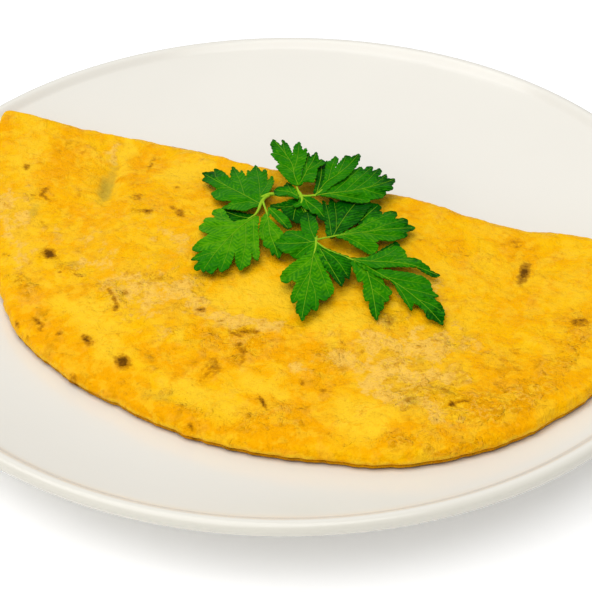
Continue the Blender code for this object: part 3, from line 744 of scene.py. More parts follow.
def fill_loop(loop, spacing):
    """Triangles inside a closed loop, with points a spacing apart: (points, faces), loop first."""
    low, high = loop.min(0), loop.max(0)
    rows = []
    for k, y in enumerate(np.arange(low[1], high[1], spacing * math.sqrt(0.75))):
        row = np.arange(low[0] + (k % 2) * spacing / 2, high[0], spacing)
        rows.append(np.stack([row, np.full_like(row, y)], 1))
    points = np.concatenate(rows)
    inward = loop.mean(0) - loop
    margin = loop + inward / np.hypot(*inward.T)[:, None] * FILL_MARGIN * spacing
    points = points[inside_loop(points, margin)]
    coords = [Vector(p) for p in np.concatenate([loop, points])]
    ring = [(k, (k + 1) % len(loop)) for k in range(len(loop))]
    found, _, faces, *_ = delaunay_2d_cdt(coords, ring, [], 1, SAME_POINT, False)
    found = np.array([tuple(p) for p in found])
    kept = inside_loop(np.array([found[list(face)].mean(0) for face in faces]), loop)
    return found, [face for face, keep in zip(faces, kept) if keep]


def build_omelette(material):
    """The top and the underside, each a filled loop, and the strip round the edge between them."""
    edges, on_arc = outline()
    rings = edge_strip(edges, on_arc, inward_directions(edges))
    count = len(edges)
    top, top_faces = fill_loop(rings[0][:, :2] / MM, TOP_SPACING / MM)
    bottom, bottom_faces = fill_loop(rings[-1][:, :2] / MM, UNDER_SPACING / MM)
    along, front = top[count:].T * MM
    top_inner = np.column_stack([along, front, underside(along, front) + thickness(along, front)
                                 + relief(along, front)])
    along, front = bottom[count:].T * MM
    bottom_inner = np.column_stack([along, front, underside(along, front)])
    faces = []
    for ring in range(PROFILE_POINTS - 1):
        for k in range(count):
            here, after = ring * count + k, ring * count + (k + 1) % count
            faces.append((here + count, after + count, after, here))
    # a filled loop's own points are the strip's first or last ring, and its others come after the strip
    last = (PROFILE_POINTS - 1) * count
    top_shift, bottom_shift = last, last + len(top_inner)
    faces += [tuple(v if v < count else v + top_shift for v in reversed(face)) for face in top_faces]
    faces += [tuple(v + (last if v < count else bottom_shift) for v in face) for face in bottom_faces]
    along, front, height = np.concatenate([*rings, top_inner, bottom_inner]).T
    rim, edge = np.zeros(len(along)), np.zeros(len(along))
    for ring in range(PROFILE_POINTS):
        place = (len(FLAP_EDGE) - 1) * ring / (PROFILE_POINTS - 1)
        own = slice(ring * count, (ring + 1) * count)
        # rim: browning under the lip, partly painted shade; edge: a painted highlight along the lip
        rim[own] = on_arc * smooth_step(*EDGE_BROWNED, place)
        edge[own] = on_arc * smooth_step(*EDGE_PALE, place) * (1.0 - rim[own])
    verts = np.column_stack([*to_plate(along, front), height])
    return add_mesh("fried_omelette", verts, faces, material, egg_tones(along, front, rim, edge))


# ---------------------------------------------------------------- omelette: its material

EGG_BASE = (0.897, 0.473, 0.001)
EGG_LIGHT = (0.917, 0.534, 0.0095)
EGG_BRIGHT = (0.922, 0.556, 0.0192)
EGG_AMBER = (0.86, 0.37, 0.0002)
EGG_FOLD = (0.62, 0.27, 0.0003)
EGG_CREAM = (0.888, 0.534, 0.0859)
EGG_TAN = (0.768, 0.413, 0.0211)
EGG_OLIVE = (0.48, 0.345, 0.035)
EGG_TOAST = (0.42, 0.16, 0.001)
EGG_BROWN = (0.11, 0.038, 0.001)
EGG_SHEEN = (1.0, 0.75, 0.12)


class EggNodes(Nodes):
    """The egg's material, with the noises and covers that its layers share."""

    def __init__(self):
        super().__init__("egg")
        self.mottle = self.noise(0.0044, 4.0, 0.6, 0.35)
        self.patchy = self.noise(0.0105, 4.0, 0.55, 0.9)
        self.broad = self.noise(0.024, 3.0, 0.5)
        self.fine = self.noise(0.0017, 3.0, 0.62)
        self.sandy = self.noise(0.0008, 2.0, 0.55)
        self.folds = self.noise(0.0075, 4.0, 0.6, 0.35)
        self.cells = self.noise(0.0058, 3.0, 0.55, 0.5)
        self.lumps = self.noise(0.0042, 1.0, 0.5, 0.6)
        self.skin = self.ramp(self.cover("skin", 1.2), 0.15, 0.95)
        self.crinkled = self.ramp(self.cover("crinkled", 0.9), 0.1, 1.2)
        self.skin_and_crinkle = self.math("ADD", self.product(self.skin, 0.6), self.total(self.crinkled, 0.22), True)

    def cover(self, name, rough_edge):
        """A tone's share with its edge broken up by the noise."""
        edge = self.total(self.swing(self.patchy, 0.9 * rough_edge), self.swing(self.mottle, rough_edge),
                          self.swing(self.fine, 0.5 * rough_edge))
        return self.total(self.attribute(name), edge)

    def fried_layers(self):
        """Lighter and darker yellow, in patches and cells with a darker net between them."""
        net = self.product(self.line(self.cells, 0.475, 0.035, 0.6), self.ramp(self.folds, 0.4, 0.6))
        return (
            (EGG_LIGHT, self.ramp(self.patchy, 0.46, 0.68, 0.0, 0.8)),
            (EGG_AMBER, self.ramp(self.patchy, 0.50, 0.36, 0.0, 0.55)),
            (EGG_AMBER, self.ramp(self.broad, 0.45, 0.7, 0.0, 0.5)),
            (EGG_AMBER, self.ramp(self.mottle, 0.5, 0.75, 0.0, 0.5)),
            (EGG_BRIGHT, self.ramp(self.cover("bright", 0.9), 0.05, 1.0)),
            (EGG_AMBER, self.ramp(self.cover("amber", 1.0), 0.05, 0.95)),
            (EGG_BRIGHT, self.ramp(self.cells, 0.50, 0.60, 0.0, 0.45)),
            (EGG_AMBER, net),
        )

    def skin_layers(self):
        """Dull tan skin that flakes in cream, and the pale crests of the wrinkles, partly painted
        highlight.
        """
        flakes = self.total(self.folds, self.product(self.skin, 0.16))
        flakes = self.product(self.ramp(flakes, 0.55, 0.63), self.ramp(self.skin, 0.0, 0.7, 0.1, 0.9))
        crest = self.product(self.attribute("crest"), self.ramp(self.mottle, 0.42, 0.62, 0.0, 0.7))
        return (
            (EGG_TAN, self.product(self.skin, 0.75)),
            (EGG_CREAM, flakes),
            (EGG_CREAM, crest),
        )

    def crease_layers(self):
        """Darker gold and cream blotches, lines and grains on the skin and crinkled parts, partly the egg's
        own and partly painted shade and highlights of its crumples, and painted shade in the grooves.
        """
        creased = self.total(self.attribute("amber"), self.skin_and_crinkle)
        shaded = self.product(self.ramp(self.mottle, 0.50, 0.72, 0.0, 0.8),
                              self.ramp(creased, 0.3, 1.3, 0.1, 1.0))
        line = self.product(self.line(self.folds, 0.52, 0.05, 0.45), self.skin_and_crinkle,
                            self.ramp(self.patchy, 0.42, 0.62))
        grain = self.total(self.fine, self.swing(self.sandy, 0.7))
        groove = self.total(self.attribute("groove"), self.swing(self.fine, 0.5))
        return (
            # painted shade of the crumples, partly the egg's own darker gold
            (EGG_FOLD, shaded),
            (EGG_FOLD, line),
            # painted shade and highlights along the crumples of crinkled parts, in the next two layers
            (EGG_FOLD, self.product(self.line(self.mottle, 0.49, 0.06, 0.55), self.crinkled)),
            (EGG_CREAM, self.product(self.line(self.mottle, 0.58, 0.05, 0.45), self.crinkled)),
            (EGG_BRIGHT, self.product(self.ramp(grain, 0.46, 0.34, 0.0, 0.7), self.skin_and_crinkle)),
            (EGG_FOLD, self.product(self.ramp(grain, 0.56, 0.72, 0.0, 0.5), self.skin_and_crinkle)),
            # painted shade in the wrinkles' grooves
            (EGG_FOLD, self.ramp(groove, 0.1, 1.0, 0.0, 0.6)),
            (EGG_TOAST, self.ramp(groove, 0.6, 1.3, 0.0, 0.6)),
        )

    def browned_layers(self):
        """Olive: greyish marks, and painted shade in the dimple; brown spots; and the flap's edge, with a
        painted highlight along its lip and browning below, partly painted shade under it.
        """
        olive = self.ramp(self.cover("olive", 0.35), 0.05, 0.95)
        marked = self.attribute("spots")
        broken = self.total(self.swing(self.mottle, 0.7),
                            self.total(self.swing(self.fine, 1.2), self.swing(self.sandy, 0.5)))
        spots = self.total(marked, self.product(broken, self.ramp(marked, 0.0, 0.3)))
        # a painted highlight along the flap's lip
        pale = self.product(self.attribute("edge"), self.ramp(self.mottle, 0.4, 0.6, 0.0, 0.9))
        rim = self.total(self.attribute("rim"),
                         self.total(self.swing(self.folds, 2.4), self.swing(self.fine, 1.0)))
        return (
            # olive: painted shade in the dimple, greyish marks elsewhere
            (EGG_OLIVE, self.product(olive, 0.8)),
            (EGG_TOAST, self.ramp(spots, 0.02, 0.5, 0.0, 0.75)),
            (EGG_BROWN, self.ramp(spots, 0.40, 1.0, 0.0, 0.95)),
            (EGG_BRIGHT, pale),
            # browning under the flap's lip, partly painted shade
            (EGG_TOAST, self.ramp(rim, 0.3, 0.9, 0.0, 0.55)),
            (EGG_BROWN, self.ramp(rim, 1.0, 1.8, 0.0, 0.7)),
        )


def egg_material():
    """Fried egg: yellow with amber, tan and brown on it, softly crumpled, with painted shade in its creases
    and dimple and painted highlights on crests and the flap's lip.
    """
    nodes = EggNodes()
    layers = (*nodes.fried_layers(), *nodes.skin_layers(), *nodes.crease_layers(), *nodes.browned_layers())
    grain = nodes.total(nodes.product(nodes.fine, 0.6), nodes.product(nodes.sandy, 0.4))
    normal = nodes.relief((nodes.folds, 0.0014, 0.6), (nodes.mottle, 0.0016, 0.8),
                          (nodes.product(nodes.lumps, nodes.crinkled), 0.0016, 0.8), (grain, 0.0006, 0.7))
    rough = nodes.ramp(nodes.patchy, 0.3, 0.7, 0.36, 0.55)
    nodes.set(Base_Color=nodes.painted(EGG_BASE, layers), Roughness=rough, Normal=normal)
    nodes.set(Specular_IOR_Level=0.06, Specular_Tint=EGG_SHEEN)
    return nodes.material


# ---------------------------------------------------------------- parsley

# Every blade is laid out as it looks from the front of the plate, on a level of its own. What lies
# lower than that level is moved back by this much for each mm of drop, so that it keeps its look.
SIGHT_SLOPE = 1.28
# For each blade: its level, its painted light and shade from 0 (in shade) to 1 (lit), its outline and its
# veins, in mm.
# A vein's third number is its height; the first vein is the midrib.
BLADES = {
    "left_back": (24, 0.55, (
        (-8.5, 7.5), (-8.2, 10.5), (-7, 13.5), (-6, 17), (-5.2, 21), (-5.8, 24.8), (-7.2, 22.6),
        (-7.7, 27), (-8.3, 29.2), (-9.6, 28.3), (-11.7, 31.8), (-13.4, 28.4), (-14.4, 28.8), (-15, 25.5),
        (-16.6, 28.8), (-17.2, 27.6), (-19.8, 31.3), (-20.4, 27.5), (-20.6, 24.4), (-23.3, 28.3),
        (-26.2, 30.3), (-27, 28.5), (-30.4, 27.6), (-29.5, 25), (-30.2, 22.8), (-27.8, 20.5), (-25.2, 17),
        (-26.6, 14.5), (-25.2, 11.3), (-22.8, 9.8), (-19.8, 9.3), (-20.8, 7), (-22.4, 5.2), (-18, 4.2),
        (-14.5, 3.4), (-12, 5), (-10.2, 5.8)), (
        ((-9.3, 7, 24.7), (-13.5, 11.2, 24.1), (-18, 15.5, 23.3), (-24, 21, 22.3), (-29.5, 26.5, 21.5)),
        ((-9.4, 7.6, 24.8), (-10, 18, 24.5), (-11.5, 31, 23.5)),
        ((-15, 12.6, 23.8), (-17.3, 23, 23.2), (-19.7, 30.5, 22.7)),
        ((-9.7, 12, 24.8), (-7.4, 19, 24.3), (-6, 24, 23.8)),
        ((-10.5, 7.2, 24.6), (-14, 8.6, 23.8), (-17.5, 7.6, 23.1), (-21.6, 5.6, 22.2)),
        ((-20, 17.3, 23), (-24, 17.4, 22.4), (-26.3, 14.6, 21.9)),
        ((-21.5, 18.7, 22.7), (-25.5, 24.5, 22.2), (-26.3, 29.5, 21.8)))),
    "left_front": (23.5, 0.85, (
        (-10.2, 0.6), (-12.6, -0.6), (-15.5, -1.6), (-18, -2.2), (-19.8, -0.2), (-20.8, 2.2), (-21.6, 4.4),
        (-22.8, 5.4), (-24.6, 4.9), (-25.7, 2.8), (-24.7, 0.4), (-27, 0), (-28.3, -1.6), (-28, -2.9),
        (-29.4, -4.5), (-29.5, -6), (-28.6, -7.6), (-26.4, -9.3), (-27.2, -11), (-29.1, -13.3),
        (-30.6, -16), (-31.1, -17.8), (-29.8, -18.9), (-27.8, -19), (-29.2, -20.7), (-30.9, -23.4),
        (-28.6, -24.2), (-29.2, -26), (-29.8, -27.8), (-29.1, -29.2), (-27.7, -28.8), (-26.8, -30.1),
        (-25.8, -29.3), (-24.3, -30.9), (-23.1, -29.2), (-22.3, -27.8), (-21.3, -29.8), (-19.6, -28.7),
        (-18.4, -26.2), (-17.2, -21.6), (-16.7, -24), (-16.3, -26.3), (-15.2, -29), (-13.8, -27.5),
        (-12.5, -26.5), (-12, -24), (-11.5, -21.2), (-10.8, -22.9), (-9.7, -23.8), (-9.2, -20.5),
        (-9.5, -16.5), (-9.6, -12.5), (-9.9, -8), (-10, -4), (-9.8, -1)), (
        ((-10.6, 0.6, 24.3), (-13, -2, 24), (-16, -6, 23.6), (-20, -13, 22.7), (-23, -19, 22),
         (-26.6, -28.5, 20.9)),
        ((-12.4, -1.4, 24.1), (-15, -2.3, 23.8), (-18, -2.7, 23.3), (-22, 0.2, 22.6), (-23, 4, 22.1)),
        ((-15.5, -5.2, 23.6), (-22, -5, 22.6), (-28.8, -5.2, 21.6)),
        ((-20, -13, 22.7), (-22.5, -13.9, 22.3), (-26, -15, 21.8), (-30.5, -17.6, 21)),
        ((-23.3, -19.6, 22), (-27, -21, 21.4), (-30.2, -23, 20.9)),
        ((-18, -9.6, 23.1), (-19.5, -20, 22), (-21.2, -29, 21)),
        ((-14, -4, 23.8), (-13.8, -16, 22.6), (-15.2, -28, 21.2)),
        ((-11.4, -1.5, 24.1), (-11.2, -12, 23), (-10, -22.8, 22)))),
    # painted shade: a dark blade where a leaf lies in the shadow of left_back
    "left_low": (22.8, 0, (
        (-11.5, 2.5), (-14, 3.4), (-17.5, 5), (-22.3, 6.4), (-21.8, 3.3), (-20, -0.6), (-17.6, -3),
        (-15, -3), (-12, -1.5)), (
        ((-12, 0.6, 22.3), (-16, 1.5, 21.8), (-20.8, 4.4, 21.2)),)),
    "left_inner": (23.5, 0.8, (
        (-7, 3), (-8.4, 0.2), (-9, -2.5), (-9.4, -6), (-9.4, -9), (-9, -11.4), (-8.1, -13.2),
        (-8.1, -14.8), (-7.2, -16.8), (-5.8, -17.8), (-5.4, -20), (-5, -21.4), (-4.2, -20.6),
        (-3.1, -22.6), (-2.1, -20.4), (-1.5, -18), (-0.8, -14), (-1, -10.8), (-2.5, -7.5), (-3.7, -5.2),
        (-5.2, -2.5), (-6.4, 0.2), (-6.4, 3)), (
        ((-7.1, 2.5, 25), (-6.6, -2, 24.7), (-5.8, -10, 23.9), (-4.2, -17, 22.8), (-3.2, -22, 22)),
        ((-6.2, -5, 24.4), (-3.6, -10, 23.6), (-2, -17, 22.6)),
        ((-6.8, -1, 24.7), (-8.3, -7, 23.9), (-7.8, -13, 23)))),
    "left_streak": (24, 0.55, (
        (-6.4, 5), (-4, 3.6), (-2, 1.6), (-0.3, -1), (0.6, -4), (0.9, -6.6), (-0.2, -7.3), (-1.8, -5.2),
        (-3.6, -2.6), (-5.6, 0.8), (-6.8, 3.6)), (
        ((-6.4, 4.4, 24.9), (-3.6, -0.2, 24.7), (-0.2, -6.8, 24.2)),)),
    "back_tall": (29, 0.6, (
        (2.4, 11.6), (0.5, 13.2), (-2, 18), (-4.2, 22.8), (-3.4, 24.8), (-5, 28.3), (-6.2, 31),
        (-5.5, 32.3), (-6.3, 37.5), (-5.4, 40.2), (-2.7, 37), (-2.2, 40), (-0.3, 37), (1.2, 32.2), (2, 36),
        (3.7, 38.6), (4.9, 33.8), (6.1, 34.4), (6.2, 30), (5.6, 25.5), (4.6, 21), (4.2, 16.5),
        (3.9, 12)), (
        ((3.2, 11.8, 27.4), (1.9, 18, 28.9), (1.6, 22, 29.4), (-1.2, 31, 30.4), (-4.8, 38.8, 31)),
        ((1.7, 20, 29.1), (3, 28, 30.1), (3.6, 37, 30.9)),
        ((1.8, 19, 29), (-1.6, 23.5, 29.4), (-3.8, 24, 29.6)),
        ((-0.2, 27.6, 30), (-2.8, 30, 30.3), (-5.6, 31.2, 30.5)),
        ((-1, 30, 30.3), (-1.7, 35, 30.6), (-2.2, 39, 30.9)))),
    "back_narrow": (29, 0.5, (
        (3.6, 11.6), (4.2, 15), (4.8, 21), (5.8, 27), (6.9, 31.7), (7.8, 29.8), (9.7, 32), (10.6, 27.6),
        (11.6, 27.4), (12.5, 25.2), (11, 23.5), (9.9, 21.6), (9.4, 17.5), (8.4, 13.4), (6.8, 13.6),
        (5.2, 13.4), (4.4, 12)), (
        ((3.7, 11.9, 27.3), (5.3, 17, 28.3), (6.5, 21, 28.9), (8.2, 26, 29.5), (9.5, 31, 29.9)),
        ((5.4, 17.3, 28.4), (8, 18.6, 28.4), (9.2, 18, 28.3)),
        ((6.4, 20.6, 28.8), (9.6, 24, 29), (11.5, 26.8, 29.2)),
        ((6, 19.4, 28.7), (6.2, 25, 29.2), (6.9, 30.5, 29.6)))),
    "back_shaded": (26, 0.12, (
        (8.6, 11), (9.2, 16), (9.4, 21), (9.6, 27), (10.4, 30), (11.5, 32.2), (12.6, 30.5), (13.4, 31),
        (14, 26), (13.6, 20), (12.5, 15), (11, 11.5)), (
        ((9.6, 11.2, 26.5), (11, 20, 27), (11.5, 31.4, 27.4)),)),
    "back_right": (26, 0.5, (
        (9.4, 9.6), (11.2, 14.6), (12.2, 19), (12.6, 24), (13.2, 29.8), (14.6, 31), (16.4, 33.6),
        (17.2, 31), (16.6, 27.8), (18.4, 31.2), (20, 34.2), (22, 33.6), (24.6, 35.2), (24.9, 33),
        (24.2, 30.5), (23.6, 28), (22, 24.5), (20, 21), (18, 18.6), (14.6, 14.8), (12, 11)), (
        ((8.8, 9.4, 26.7), (10.5, 12.5, 27), (13, 17.6, 27.6), (16, 21, 28), (20, 26.6, 28.4),
         (24.2, 34.4, 28.8)),
        ((13.6, 18.4, 27.7), (14.6, 25, 28.2), (16.2, 32.6, 28.5)),
        ((17, 22.4, 28.1), (18.6, 28, 28.4), (20, 33.4, 28.6)))),
    "right_back": (26, 0.5, (
        (11, 9.4), (13.4, 13), (16, 16), (18.5, 19.4), (20.6, 22.6), (23.4, 25.8), (25.3, 27.2),
        (25.8, 25.4), (27.4, 27.4), (29.2, 27.1), (29.3, 25), (31.6, 26.2), (31.9, 23.6), (31, 21),
        (33.7, 22.4), (34, 20.3), (36.4, 19.7), (36, 17.4), (35.2, 15.6), (35.2, 13.2), (33.3, 12),
        (32.4, 9.6), (31, 7.9), (28, 7), (27, 5.6), (24, 5), (19, 6.4), (14.5, 8.2)), (
        ((9.6, 9.2, 26.6), (13, 10.2, 26.8), (20, 11.7, 27), (26.5, 13.8, 26.9), (31, 16, 26.7),
         (36, 19.2, 26.3)),
        ((22, 12.4, 27), (26.6, 18, 27.1), (31, 25.4, 27.1)),
        ((19, 11.6, 27), (23, 18, 27.2), (28.6, 26.6, 27.3)),
        ((27.5, 14.2, 26.9), (30, 17, 26.9), (33.4, 21.8, 26.7)),
        ((25, 13.4, 26.9), (29.5, 10.8, 26.3), (31.8, 9.8, 25.9)),
        ((15, 10.8, 26.9), (19, 17, 27.1), (25, 26.4, 27.2)),
        ((14, 10.2, 26.8), (20, 8.4, 26.2), (26, 6.4, 25.4)))),
    "middle_small": (26, 0.6, (
        (3, 7.4), (1.4, 8.6), (-0.6, 9.6), (-3.4, 9.2), (-4.8, 11), (-4.6, 13), (-3.2, 14.8), (-1.8, 15.2),
        (-0.4, 17.4), (1.2, 15.4), (2.6, 12.4), (3.4, 9.6)), (
        ((3, 8.8, 26.6), (0.4, 11.4, 26.4), (-3.8, 12.6, 25.8)),
        ((1.6, 10.2, 26.5), (0.6, 13, 26.4), (-0.4, 16.6, 26.2)))),
    # painted shade: a dark blade for a leaf lying in shadow under the others
    "middle_low": (25, 0.05, (
        (3.8, 9), (1, 8.6), (-0.8, 7.4), (-3, 6.4), (-6, 5.4), (-5, 3), (-2.6, 2.6), (-1.4, -0.8),
        (0.4, -2.6), (2, -4.4), (4.4, -5.4), (7.6, -4), (9.4, -1), (10, 3), (8, 7)), (
        ((3.9, 8, 25.4), (2.4, 3, 24.8), (1.6, -3.4, 24)), ((3, 5, 25), (-1, 4, 24.2), (-5.4, 4.8, 23.6)),
        ((3.6, 6, 25.1), (5.4, 0, 24.6), (6.6, -4, 24.1)))),
    "middle_hanging": (26, 0.35, (
        (4.2, 8.6), (6, 9.4), (9, 7), (11, 4), (11.6, 0), (12.4, -3.4), (12, -5.4), (10.4, -4),
        (9.2, -1.6), (7.8, -1.2), (7, 0.6), (5.6, 1.4), (4.4, 3), (2.2, 2.6), (1.8, 4.2), (3.2, 5.6)), (
        ((4.4, 8.4, 26.5), (7, 4.8, 26.3), (9.8, 0.9, 26), (12, -4.2, 25.6)),
        ((5.6, 6.8, 26.4), (6.4, 3.4, 26.1), (7.6, -0.4, 25.8)),
        ((4.5, 7.6, 26.4), (4, 5, 26.1), (2.6, 3.4, 25.8)))),
    "front_left": (24.5, 0.42, (
        (9, -14.6), (8.8, -12.6), (9.4, -9), (9.6, -6), (9, -3), (7.8, -0.4), (6.2, 1.6), (5, -0.8),
        (4, -3), (4.1, -6), (3.8, -9), (0.2, -9.2), (-1.5, -11), (-2.8, -13.5), (-4.2, -15.4),
        (-3.4, -18.2), (-1.4, -20.9), (0.4, -21.7), (1.4, -23.2), (2.8, -24.3), (4.8, -22.8), (7, -19.8),
        (8.6, -17)), (
        ((9, -15.4, 25.7), (4, -16.2, 24.8), (0, -16.4, 24), (-3.8, -16, 23.2)),
        ((8.8, -14.8, 25.7), (7.2, -8, 25.6), (6.4, 0.8, 25.2)),
        ((8.6, -16, 25.6), (5, -19.4, 24.2), (2.4, -23.4, 22.8)),
        ((7.4, -15.6, 25.5), (3.6, -12.4, 24.8), (0.4, -10.2, 24)))),
    "front_long": (24.5, 0.72, (
        (8.4, -16), (7.2, -19), (5.6, -22.4), (3.5, -24.8), (1, -27.5), (-1, -30.5), (-2, -33),
        (-2.2, -35.5), (-0.8, -37), (1.2, -36), (2.4, -37.2), (1.8, -40), (1.2, -43), (1, -45.5),
        (1.5, -47), (2.9, -46), (2.6, -49), (2.7, -52), (3.5, -52.8), (4.3, -55.6), (5.4, -53.4),
        (6.4, -51.6), (7, -49.6), (8.5, -50.8), (9.4, -48.4), (9.6, -45.4), (11.4, -45.8), (13.4, -43),
        (14.2, -40.5), (13.6, -37), (12.8, -34), (12, -31), (12.4, -27), (11.4, -22), (9.8, -17.6)), (
        ((9, -15.8, 25.8), (8.4, -20, 25.5), (7.4, -28, 24.6), (6.6, -36, 23.4), (5.3, -46, 22),
         (4.3, -54.6, 20.9)),
        ((7.9, -24, 25), (3.4, -30, 23.4), (-1.4, -35, 22)),
        ((7.1, -31, 24.1), (4.4, -38, 22.8), (1.8, -46, 21.5)),
        ((8.1, -22.6, 25.2), (10.4, -32, 23.8), (12.6, -42.6, 21.8)),
        ((6.8, -34, 23.7), (8.4, -42, 22.5), (8.6, -50, 21.3)))),
    "front_wedge": (24.5, 0.22, (
        (9.4, -16.6), (11.5, -18.8), (14, -20.4), (17, -22.4), (19.4, -24), (20.2, -26), (19.8, -29),
        (19.5, -32), (19, -35), (17.8, -33.8), (17.5, -36), (16.6, -38.6), (15, -36.2), (13.6, -33),
        (12, -30), (10.4, -25.4), (9.2, -20)), (
        ((9.3, -16.8, 25.6), (12, -25, 24.8), (16.4, -37.6, 22.6)),
        ((10, -18.8, 25.4), (14.5, -24, 24.8), (18.8, -34, 23)))),
    "right_front": (24.5, 0.62, (
        (15.6, -12.9), (16.4, -11.8), (18, -10.5), (20, -9), (22, -7.5), (24, -5.5), (25, -3.8),
        (26.5, -2.5), (29, -1.6), (31, 0), (32.5, 1.5), (34.6, 2.1), (35.9, 1.3), (35.6, -1), (35.2, -2.4),
        (38, -2), (39.4, -3.5), (39.2, -5.4), (40.6, -6.3), (41.5, -7.5), (40, -9), (38.4, -10),
        (38.6, -12), (36.8, -13.2), (33.4, -14.8), (30, -14.6), (28.4, -16), (28.8, -18.4), (28, -20.6),
        (26.8, -22.2), (25, -21.2), (22.8, -19), (21, -17.2), (19.4, -15.2), (17.6, -13.8)), (
        ((15.8, -12.6, 25.8), (20, -11.2, 25.8), (26, -9.8, 25.5), (33, -8.4, 24.9), (40.6, -7.6, 24.1)),
        ((18.4, -11.6, 25.9), (24, -7, 25.8), (29, -3, 25.6), (34.8, 1.2, 25.2)),
        ((26.5, -9.6, 25.5), (33, -5.4, 25.2), (38.2, -3, 24.8)),
        ((17.6, -12.4, 25.8), (22, -15.6, 25), (26.8, -21.2, 23.8)),
        ((24, -10.4, 25.6), (30, -11.8, 24.7), (36.4, -12.4, 24)))),
    "right_shaded": (25, 0.18, (
        (23.2, -6), (22.6, -2), (24, 2), (26, 5.4), (28.4, 6.2), (30.4, 5.2), (31, 3.2), (30.2, 2),
        (31.2, 0.6), (30, -2), (27, -3.6), (25, -5)), (
        ((23.6, -4.6, 24.6), (26.6, 0, 24.6), (29.8, 4.6, 24.6)),)),
    "upright": (24.5, 0.12, (
        (13.8, -13.4), (12.4, -11), (12.2, -6), (11.4, 0), (11.2, 4), (11.8, 8.4), (13.2, 5.8),
        (14.2, 9.6), (16, 7.4), (18, 9.4), (21, 8.4), (24, 8.6), (27.2, 7.8), (28, 5.6), (26.4, 3),
        (25, 0), (23, -4), (20, -7.5), (17, -10.5), (15.2, -12.6)), (
        ((14.4, -12.8, 25.5), (16, -8, 25.4), (18, -3, 25.2), (20.4, 2.6, 25), (23, 7.6, 24.8)),
        ((14, -12, 25.5), (13.4, -2, 25.3), (12.4, 7, 25)),
        ((15.6, -9.4, 25.4), (15.8, 0, 25.2), (15.4, 7, 25)))),
    "end_left": (24.5, 0.6, (
        (20.4, -25.6), (19.9, -27), (20.5, -30), (21.2, -33), (21.8, -36.4), (23.2, -36.6), (23.4, -40),
        (23.3, -43), (23.8, -46), (24.8, -46.4), (24.8, -49), (25.4, -52.5), (26.8, -55.2), (27.9, -51.5),
        (29, -49.8), (29.4, -47), (30.6, -46.2), (31, -43.8), (32, -42.4), (31.3, -40), (30, -38),
        (29.2, -35), (26.4, -31.4), (23.4, -28), (21.6, -25.8)), (
        ((20.8, -26.2, 24.8), (24, -29.6, 24.4), (25.4, -36, 23.5), (26.3, -45, 22), (26.8, -54.4, 20.8)),
        ((25, -33.5, 23.8), (28.6, -37, 23), (31.4, -42, 22)),
        ((25.7, -40, 22.8), (28.6, -43.6, 22), (30.2, -46, 21.6)))),
    "end_long": (24.5, 0.5, (
        (21.4, -25.4), (24, -26), (27, -28.6), (30, -30.2), (33.2, -31), (38, -32), (42, -34), (44, -36.6),
        (44.6, -40.8), (46.2, -43.8), (44.8, -44.8), (46.6, -48), (47.3, -51.5), (46.3, -57.4),
        (44, -55.4), (42, -54.4), (41.2, -51), (39.8, -48.6), (38.4, -47.8), (37.4, -50.6), (36.4, -48),
        (35.4, -45.5), (34, -42), (33, -38.5), (31.4, -35.8), (28.6, -34), (25, -31), (22, -27.6)), (
        ((20.6, -25.4, 24.8), (23.4, -27.4, 24.7), (26, -30, 24.5), (30, -34, 24), (34, -38, 23.4),
         (38, -43, 22.6), (42, -49, 21.8), (46, -56.6, 20.9)),
        ((30.4, -34.3, 24), (36, -36, 23.4), (43.4, -38, 22.6)),
        ((35, -39.4, 23.2), (40, -41.4, 22.6), (45.6, -44, 21.8)),
        ((33, -37, 23.5), (35.4, -43, 22.6), (37.3, -49.6, 21.6)),
        ((39.5, -45.4, 22.3), (43, -47.6, 21.8), (46.4, -51, 21.3)))),
    "end_right": (24.5, 0.55, (
        (21.2, -25.2), (22, -24.4), (25, -24), (27.2, -22.6), (30, -20.6), (32.5, -19), (34.8, -17.8),
        (36.5, -19), (37.4, -21.5), (38, -23.6), (40.5, -24.4), (42.4, -26.6), (44.4, -29), (45, -30.8),
        (47.4, -33.2), (45.6, -34), (43, -32), (40, -29.4), (35, -28.8), (31, -29), (27, -29.4),
        (24, -27.6)), (
        ((20.8, -25.2, 24.8), (25, -26, 24.8), (31, -26.4, 24.5), (38, -27.6, 23.8), (46.6, -33, 22.5)),
        ((26, -26.1, 24.8), (31, -23, 24.6), (34.8, -19, 24.2)),
        ((32, -26.4, 24.4), (35.6, -25, 24.1), (39.6, -25.2, 23.6)))),
    "end_shaded": (24.5, 0.05, (
        (19.6, -24.2), (22, -24.2), (25, -23.5), (28, -21.4), (31, -18.6), (34.8, -15.4), (35.6, -18),
        (31, -21.6), (27, -25), (22, -26)), (
        ((20.4, -24.8, 24.4), (27, -23.2, 24.1), (34, -17, 23.7)),)),
}
